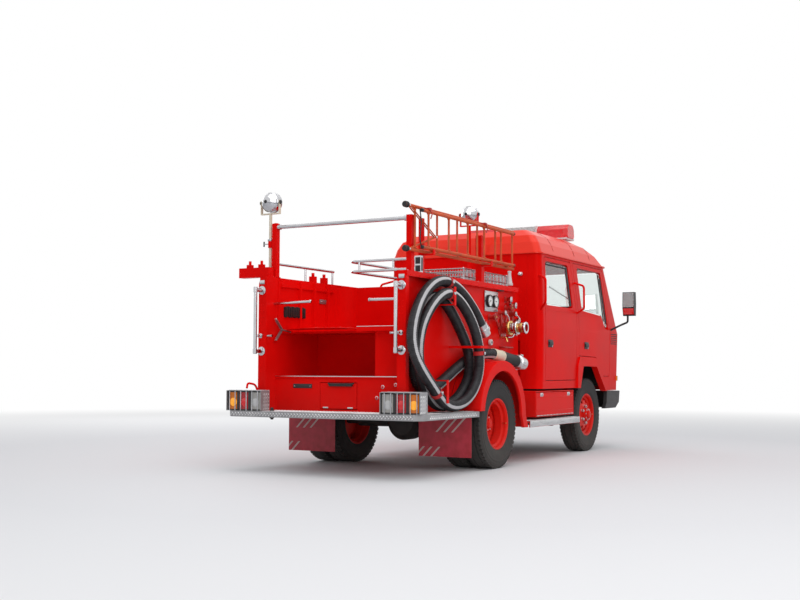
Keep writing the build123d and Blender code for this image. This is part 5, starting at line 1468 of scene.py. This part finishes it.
# doors: round black handles in their cups, flat pulls and keyholes
handleSizes = {"rear": 1345, "front": 2352, "landing": 1166, "height": 1122, "key": (52, 1096)}
keyAcross, keyHeight = handleSizes["key"]
for name in ("rear", "front"):
    x = handleSizes[name]
    for side, s in (("right", -1), ("left", 1)):
        skin = surfaceOf(f"door_{name}_{side}")
        hit, normal = landOn(skin, at(x, s * 1000, handleSizes["landing"]), (0, -s, 0))
        y = abs(hit.y) / mm
        spot = at(x, s * y, handleSizes["height"])
        way = (0, s, 0)
        parts = []
        put(
            parts, "blackPlastic",
            lathe(
                spot, way, [(-9, 0), (-9, 26), (-4, 32), (0.5, 33.5), (2.4, 36), (1.2, 39), (-0.6, 39.5)],
                48),
            slab(x - 44, x + 76, s * (y - 1), s * (y + 4), 1086, 1158, 2),
            slab(x - 34, x + 64, s * (y + 3), s * (y + 15), 1106, 1140, 5))
        put(parts, "chrome", lathe(
            at(x + keyAcross, s * (y + 4), keyHeight), way,
            [(-2, 0), (-2, 9), (1.6, 9), (2.4, 7), (2.4, 0)], 20))
        assemble(f"door{name.title()}{side.title()}Handle", f"door_{name}_{side}", parts)
print("doors dressed")

# nose: louvred vents behind the corners, grille slats, lamp frames, bare plate
noseSizes = {
    "vents": (6, 1160, 21.5), "ventSteps": (11, 3140, 20.5), "grille": (430, 22),
    "grilleHeights": (822, 978), "slats": 7, "lamps": (588, 702), "plate": 165,
    "plateHeights": (512, 628)}
ventCount, ventFoot, ventPitch = noseSizes["vents"]
stepCount, stepStart, stepWide = noseSizes["ventSteps"]
grilleHalf, grilleSteps = noseSizes["grille"]
plateHalf, (plateLow, plateHigh) = noseSizes["plate"], noseSizes["plateHeights"]
nose = surfaceOf("cab_front")
parts = []
for s in (1, -1):
    for i in range(ventCount):
        z = ventFoot + ventPitch * i
        path, ups = [], []
        for k in range(stepCount):
            x = stepStart + stepWide * k
            hit, normal = landOn(nose, at(x, s * 1000, z), (0, -s, 0))
            if abs(hit.y) > 0.5:
                path.append(hit)
                ups.append(normal)
        if len(path) > 3:
            put(parts, "blackRubber", sweep(path, band(5.5, -1.5, 0.9), up=ups))
            lifted = [p + Vector((0, 0, 0.0075)) for p in path]
            put(parts, "firePaint", sweep(
                lifted, [(-4.5, -1.5), (4.5, -1.5), (4.0, 4.6), (1.5, 6.0), (-2.5, 4.2)], up=ups))
frontLow, frontHigh = [], []
for k in range(grilleSteps + 1):
    y = grilleHalf * (2 * k / grilleSteps - 1)
    for z, row in zip(noseSizes["grilleHeights"], (frontLow, frontHigh)):
        row.append(landOn(nose, at(3800, y, z), toRear)[0])
for i in range(noseSizes["slats"]):
    f = (i + 0.75) / 7.3
    path = [a.lerp(b, f) for a, b in zip(frontLow, frontHigh)]
    put(parts, "dashPlastic", sweep(path, [(-6, -7), (6, -7), (6, -3), (-1, 7), (-6, 7)], up=toFront))
middle = [a.lerp(b, 0.5) for a, b in zip(frontLow, frontHigh)]
put(parts, "blackPlastic", sweep(middle, band(76, -2, 2.5), up=toFront))
for s in (1, -1):
    lampFrame = [(s * 520, 815), (s * 770, 815), (s * 770, 985), (s * 520, 985)]
    put(parts, "blackPlastic", layStrip(
        lampFrame, "front", nose, [(-9, -2), (9, -2), (9, 3), (-9, 5)], 20))
    for y in noseSizes["lamps"]:
        hit, normal = landOn(surfaceOf("front_lamps"), at(3800, s * y, 900), toRear)
        put(parts, "chrome", lathe(
            hit, normal, [(-3, 55), (-1, 58), (2.4, 58), (3.4, 54), (1.8, 50), (0.9, 30), (1.4, 0)], 44))
        put(parts, "lampGlass", lathe(hit, normal, [(2, 49), (4.2, 40), (6.2, 20), (7, 0)], 44))
bumperSkin = surfaceOf("bumper")
front = (landOn(bumperSkin, at(3800, 0, 570), toRear)[0].x - axleBack) / mm
put(parts, "blackPlastic", slab(front - 8, front + 4, -plateHalf, plateHalf, plateLow, plateHigh, 3))
put(parts, "creamPaint", slab(
    front + 2, front + 6, 5 - plateHalf, plateHalf - 5, plateLow + 5, plateHigh - 5, 2))
for y in (-140, 140):
    put(parts, "chrome", bolt(at(front + 6, y, 570), toFront, 5, 3))
# a dark tray closes the gap between the bumper and the nose
bumperTray = [at(3386 - 44 * (y / 862) ** 2, y, 624) for y in range(-800, 801, 100)]
put(parts, "dashPlastic", sweep(bumperTray, band(34, -2, 2), up=toTop))
for y in (-560, -390, 390, 560):
    hit = landOn(bumperSkin, at(3800, y, 545), toRear)[0]
    put(parts, "chrome", bolt(hit, toFront, 9, 7))
assemble("noseTrim", "chassis", parts)
print("nose dressed")

# seats: each pad is blown up as cloth inside the space of its CAD solid, then channelled and piped
seatSizes = {"voxel": 15, "pressure": 3.0, "frames": 20, "channelDeep": 12, "channelWide": 11}
# name, x, y, z, inset, cap, side that shows, channel places along y
seatPads = [
    ("benchCushion", (1335, 1800), (-715, 715), (1011, 1120), 13, 22, "z", (-480, -240, 0, 240, 480)),
    ("benchBack", (1200, 1325), (-715, 715), (1180, 1640), 13, 22, "x", (-480, -240, 0, 240, 480)),
    ("driverCushion", (2215, 2680), (-760, -330), (986, 1091), 13, 22, "z", (-640, -545, -450)),
    ("driverBack", (2170, 2212), (-760, -330), (1006, 1546), 6, 9, "x", (-640, -545, -450)),
    ("middleCushion", (2215, 2680), (-190, 190), (1042, 1147), 13, 22, "z", (-70, 70)),
    ("middleBack", (2170, 2212), (-190, 190), (1062, 1602), 6, 9, "x", (-70, 70)),
    ("mateCushion", (2215, 2680), (330, 760), (986, 1091), 13, 22, "z", (450, 545, 640)),
    ("mateBack", (2170, 2212), (330, 760), (1006, 1546), 6, 9, "x", (450, 545, 640))]


def remeshed(name, shape, voxel):
    mesh = bpy.data.meshes.new(name)
    mesh.from_pydata(shape[0], [], shape[1])
    piece = newObject(name, mesh)
    cubes = piece.modifiers.new("remesh", "REMESH")
    cubes.mode = "VOXEL"
    cubes.voxel_size = voxel * mm
    piece.data = meshFrom(piece)
    piece.modifiers.clear()
    return piece


def inflate(pieces, caps):
    # all the pads swell in one run of frames; no point moves further than its pad's cap
    starts = [[v.co.copy() for v in p.data.vertices] for p in pieces]
    for piece in pieces:
        cloth = piece.modifiers.new("cloth", "CLOTH")
        cloth.settings.quality = 4
        cloth.settings.use_pressure = True
        cloth.settings.uniform_pressure_force = seatSizes["pressure"]
        cloth.settings.effector_weights.gravity = 0
        cloth.point_cache.frame_start = 1
        cloth.point_cache.frame_end = seatSizes["frames"]
    for frameNumber in range(1, seatSizes["frames"] + 1):
        scene.frame_set(frameNumber)
    for piece, start, cap in zip(pieces, starts, caps):
        swollen = meshFrom(piece)
        for vertex, first in zip(swollen.vertices, start):
            move = vertex.co - first
            if move.length > cap * mm:
                vertex.co = first + move.normalized() * cap * mm
        piece.modifiers.clear()
        piece.data = swollen
    scene.frame_set(1)


padObjects = []
for name, xs, ys, zs, inset, cap, shows, channels in seatPads:
    core = slab(
        xs[0] + inset, xs[1] - inset, ys[0] + inset, ys[1] - inset, zs[0] + inset * 0.5, zs[1] - inset,
        min(20, (xs[1] - xs[0]) / 2 - inset - 2))
    padObjects.append(remeshed(
        name + "Core", core, seatSizes["voxel"] if shows == "z" or xs[1] - xs[0] > 60 else 11))
inflate(padObjects, [row[5] for row in seatPads])
for piece, (name, xs, ys, zs, inset, cap, shows, channels) in zip(padObjects, seatPads):
    low, high = at(xs[0] + 1, ys[0] + 1, zs[0] + 0.5), at(xs[1] - 1, ys[1] - 1, zs[1] - 1)
    finer = piece.modifiers.new("finer", "SUBSURF")
    finer.levels = finer.render_levels = 1
    mesh = meshFrom(piece)
    axis = 2 if shows == "z" else 0
    facings = [v.normal[axis] for v in mesh.vertices]
    for vertex, facing in zip(mesh.vertices, facings):
        spot = vertex.co.copy()
        if facing > 0.2:
            for y in channels:
                near = abs(spot.y / mm - y) / seatSizes["channelWide"]
                if near < 2.5:
                    spot[axis] -= facing * seatSizes["channelDeep"] * math.exp(-near * near) * mm
        vertex.co = Vector([min(max(c, a), b) for c, a, b in zip(spot, low, high)])
    skin = BVHTree.FromPolygons([v.co for v in mesh.vertices], [list(p.vertices) for p in mesh.polygons])
    bpy.data.objects.remove(piece)
    pad = settle(name, "chassis", mesh, 180, ("seat_cushions",))
    pad.data.materials.clear()
    pad.data.materials.append(finishes["seatVinyl"])
    # piping laid on the pad round the face that shows
    (a0, a1), (b0, b1) = (xs, ys) if shows == "z" else (ys, zs)
    rim = fineLoop([(a0, b0), (a1, b0), (a1, b1), (a0, b1)], 40, 24)
    rough = [at(a, b, zs[1] - 16) if shows == "z" else at(xs[1] - 10, a, b) for a, b in rim]
    loop = [skin.find_nearest(p)[0] for p in rough]
    assemble(
        name + "Piping", "chassis",
        [(sweep(loop, roundOutline(3.6, 6), True), "blackRubber")], 60)
print("seats padded:", len(seatPads))

# cab inside: dials, hub cap and horn pad, gear and brake levers, pedals, grab bar behind the front seats
cabSizes = {
    "dials": (-600, -480, -360), "dialHeight": 1232, "switches": 6, "switchPitch": 44,
    "vents": (260, 520), "grabBar": (2150, 720, 1400)}
barX, barY, barZ = cabSizes["grabBar"]
dialHeight, pitch = cabSizes["dialHeight"], cabSizes["switchPitch"]
parts = []
for y in cabSizes["dials"]:
    put(parts, "dashPlastic", lathe(
        at(3098, y, dialHeight), (-0.97, 0, 0.2),
        [(-6, 0), (-6, 42), (4, 44), (7, 42), (7, 38), (3, 37), (3, 0)], 36))
    put(parts, "gaugeFace", lathe(
        at(3094, y, dialHeight + 1), (-0.97, 0, 0.2), [(0, 0), (0, 36), (1, 36), (1.2, 0)], 32))
for i in range(cabSizes["switches"]):
    put(parts, "blackPlastic", slab(3092, 3100, -180 + pitch * i, -146 + pitch * i, 1206, 1222, 2))
for y in cabSizes["vents"]:
    put(parts, "blackPlastic", slab(3088, 3100, y - 70, y + 70, 1236, 1276, 4))
    for z in (1244, 1254, 1264):
        put(parts, "dashPlastic", slab(3084, 3090, y - 62, y + 62, z - 2, z + 2, 0.8))
put(
    parts, "blackPlastic", slab(3082, 3096, 180, 620, 1130, 1180, 6),
    pipe([at(2760, -180, 1040), at(2770, -190, 1180), at(2740, -195, 1330)], 8, 60))
put(
    parts, "blackRubber",
    lathe(at(2740, -195, 1325), toTop, [(-10, 8), (-6, 20), (10, 25), (26, 20), (32, 8), (33, 0)], 24),
    lathe(
        at(2760, -180, 1036), toTop,
        [(0, 62), (4, 62), (10, 50), (16, 52), (24, 38), (30, 40), (40, 22), (60, 12)], 28))
put(parts, "brushedSteel", pipe(
    [at(2700, -275, 1040), at(2640, -275, 1100), at(2540, -275, 1150)], 9, 30))
put(parts, "blackRubber", pipe([at(2540, -275, 1150), at(2450, -275, 1185)], 13, 10))
for y, high in ((-620, 800), (-520, 800), (-400, 780)):
    put(parts, "chassisBlack", pipe(
        [at(3200, y, high + 160), at(3130, y, high + 60), at(3080, y, high)], 7, 30))
    put(parts, "blackRubber", slab(3062, 3080, y - 34, y + 34, high - 34, high + 34, 4))
put(parts, "brushedSteel", pipe(
    [at(barX, y, z) for y, z in ((-barY, 1080), (-barY, barZ), (barY, barZ), (barY, 1080))], 12, 60, 14))
for y in (-300, 300):
    put(parts, "brushedSteel", pipe([at(barX, y, 1060), at(barX, y, barZ)], 10, sides=12))
assemble("cabInside", "chassis", parts)
lean = 0.48
columnWay = Vector((-math.sin(lean), 0, math.cos(lean)))
hub = at(2800, -480, 1400)
parts = []
put(parts, "blackPlastic", lathe(hub, columnWay, [(-2, 46), (4, 50), (14, 46), (22, 34), (24, 0)], 36))
put(parts, "dashPlastic", lathe(
    hub + columnWay * 0.022, columnWay, [(0, 24), (3, 24), (4, 20), (4, 0)], 28))
sideWay = Vector(toLeft)
acrossWay = columnWay.cross(sideWay)
for i in range(36):
    a = 2 * math.pi * i / 36
    out = sideWay * math.cos(a) + acrossWay * math.sin(a)
    ring = [
        hub + out * 0.2 + (out * math.cos(b) + columnWay * math.sin(b)) * 0.0142
        for b in (2 * math.pi * k / 12 for k in range(12))]
    put(parts, "blackRubber", sweep(ring, roundOutline(1.3, 5), True))
assemble("wheelTrim", "steering_wheel", parts)
print("cab inside dressed")

# lockers: hinge along the foot of each flap, two latches with handles on it
flapSizes = {
    "latches": (1084, 1784), "latch": 623, "ribs": (470, 600), "ribEnds": (970, 1900), "knuckles": 12,
    "pitch": 80, "knuckle": 60, "hinge": (962, 424)}
latchZ, hingeZ = flapSizes["latch"], flapSizes["hinge"][1]
for side, s in (("right", -1), ("left", 1)):
    parts = []
    for x in flapSizes["latches"]:
        put(parts, "brushedSteel", slab(x - 34, x + 34, s * 864.5, s * 869, latchZ - 17, latchZ + 17, 2))
        put(
            parts, "chrome",
            lathe(at(x, s * 868, latchZ), (0, s, 0), [(0, 14), (3, 14), (5, 11), (5, 0)], 24),
            slab(x - 5, x + 26, s * 872, s * 877, latchZ - 6, latchZ + 6, 2))
    for z in flapSizes["ribs"]:
        put(parts, "firePaint", slab(*flapSizes["ribEnds"], s * 865, s * 868.2, z - 4, z + 4, 2))
    assemble(f"flap{side.title()}Trim", f"locker_flap_{side}", parts)
    parts = []
    for k in range(flapSizes["knuckles"]):
        x = flapSizes["hinge"][0] + flapSizes["pitch"] * k
        put(parts, "brushedSteel", pipe(
            [at(x, s * 868, hingeZ), at(x + flapSizes["knuckle"], s * 868, hingeZ)], 4.5, sides=12))
    assemble(f"flap{side.title()}Hinge", "chassis", parts)
print("lockers dressed")

# body: bolt rows along the body's lip, down its front edge and along the frame
boltSizes = {
    "lip": (717, 1612, 15, 156), "frame": (360, 586, 20, 160),
    "front": (880, 1000, 1120, 1240, 1360, 1480)}
boltPlaces, boltTurns = [], []
lipY, lipZ, lipCount, lipPitch = boltSizes["lip"]
frameY, frameZ, frameCount, framePitch = boltSizes["frame"]
for s in (-1, 1):
    places = [at(-1240 + lipPitch * i, s * lipY, lipZ) for i in range(lipCount)]
    places += [at(-700 + framePitch * i, s * frameY, frameZ + 50 * (i % 2)) for i in range(frameCount)]
    places += [at(950, s * lipY, z) for z in boltSizes["front"]]
    boltPlaces += places
    boltTurns += [(math.radians(-90 * s), 0, 0)] * len(places)
smallBolt = bolt(origin, toTop, 4.5, 3.2)
assemble(
    "bodyBolts", "chassis",
    [(spreadShape("smallBolt", smallBolt, boltPlaces, boltTurns), "firePaint")], 32)
print("bolts set:", len(boltPlaces))

# camera, floor and light
camera = {"place": (-10.0305, -5.0557, 0.846), "yaw": 29.69, "pitch": 3.61, "roll": 0.19, "lens": 50.66}
yaw, pitch, roll = (math.radians(camera[k]) for k in ("yaw", "pitch", "roll"))
ahead = Vector((math.cos(yaw) * math.cos(pitch), math.sin(yaw) * math.cos(pitch), math.sin(pitch)))
side = Vector((math.sin(yaw), -math.cos(yaw), 0))
top = side.cross(ahead)
right = math.cos(roll) * side + math.sin(roll) * top
upward = math.cos(roll) * top - math.sin(roll) * side
eye = bpy.data.cameras.new("viewpoint")
eye.lens = camera["lens"]
eye.sensor_width = 36
eye.clip_end = 300
eyeObject = newObject("viewpoint", eye)
eyeObject.matrix_world = Matrix((right, upward, -ahead)).transposed().to_4x4()
eyeObject.location = camera["place"]
scene.camera = eyeObject

# place, size, power
lights = {
    "overhead": ((-1.5, -2.0, 9.5), 10.0, 470), "rearRight": ((-8.5, -7.5, 5.5), 6.0, 340),
    "frontLeft": ((6.0, 8.0, 5.0), 6.0, 190),}
for name, (place, size, power) in lights.items():
    lamp = bpy.data.lights.new(name, "AREA")
    lamp.size = size
    lamp.energy = power
    lampObject = newObject(name, lamp)
    lampObject.location = place
    lampObject.rotation_euler = (Vector((0, 0, 1.0)) - Vector(place)).to_track_quat("-Z", "Y").to_euler()

sky = bpy.data.worlds.new("studio")
sky.use_nodes = True
scene.world = sky
skyTree = sky.node_tree
skyTree.nodes.clear()
fill = addNode(skyTree, "ShaderNodeBackground", Strength=0.5, Color=(0.93, 0.95, 1.0, 1))
white = addNode(skyTree, "ShaderNodeBackground", Strength=1.0, Color=(1, 1, 1, 1))
ray = addNode(skyTree, "ShaderNodeLightPath")
either = mathNode(skyTree, "MAXIMUM")
both = mathNode(skyTree, "MAXIMUM")
blendSky = addNode(skyTree, "ShaderNodeMixShader")
out = addNode(skyTree, "ShaderNodeOutputWorld")
linkNodes(
    skyTree, (ray, "Is Camera Ray", either, 0), (ray, "Is Glossy Ray", either, 1), (either, 0, both, 0),
    (ray, "Is Transmission Ray", both, 1), (both, 0, blendSky, 0), (fill, 0, blendSky, 1),
    (white, 0, blendSky, 2), (blendSky, 0, out, "Surface"))

floorMaterial, floorTree, floorShader, floorSpot = startFinish("floorFinish")
setInputs(floorShader, Base_Color=(0.74, 0.74, 0.75, 1), Roughness=0.85)
reach = addNode(floorTree, "ShaderNodeVectorMath", operation="LENGTH")
fade = addNode(floorTree, "ShaderNodeMapRange", From_Min=5.0, From_Max=15.0, To_Min=0.0, To_Max=1.0)
pale = addNode(floorTree, "ShaderNodeEmission", Strength=1.0)
pathRay = addNode(floorTree, "ShaderNodeLightPath")
seen = mathNode(floorTree, "MULTIPLY")
floorMix = addNode(floorTree, "ShaderNodeMixShader")
floorOut = floorTree.nodes["Material Output"]
linkNodes(
    floorTree, (floorSpot, reach, 0), (reach, "Value", fade, "Value"), (fade, "Result", seen, 0),
    (pathRay, "Is Camera Ray", seen, 1), (seen, 0, floorMix, 0), (floorShader, 0, floorMix, 1),
    (pale, 0, floorMix, 2), (floorMix, 0, floorOut, "Surface"))
floorMesh = bpy.data.meshes.new("floor")
floorMesh.from_pydata([(-90, -90, 0), (90, -90, 0), (90, 90, 0), (-90, 90, 0)], [], [(0, 1, 2, 3)])
floorMesh.materials.append(floorMaterial)
floorObject = newObject("floor", floorMesh)

scene.view_settings.view_transform = "Standard"
print("camera, floor and light set")
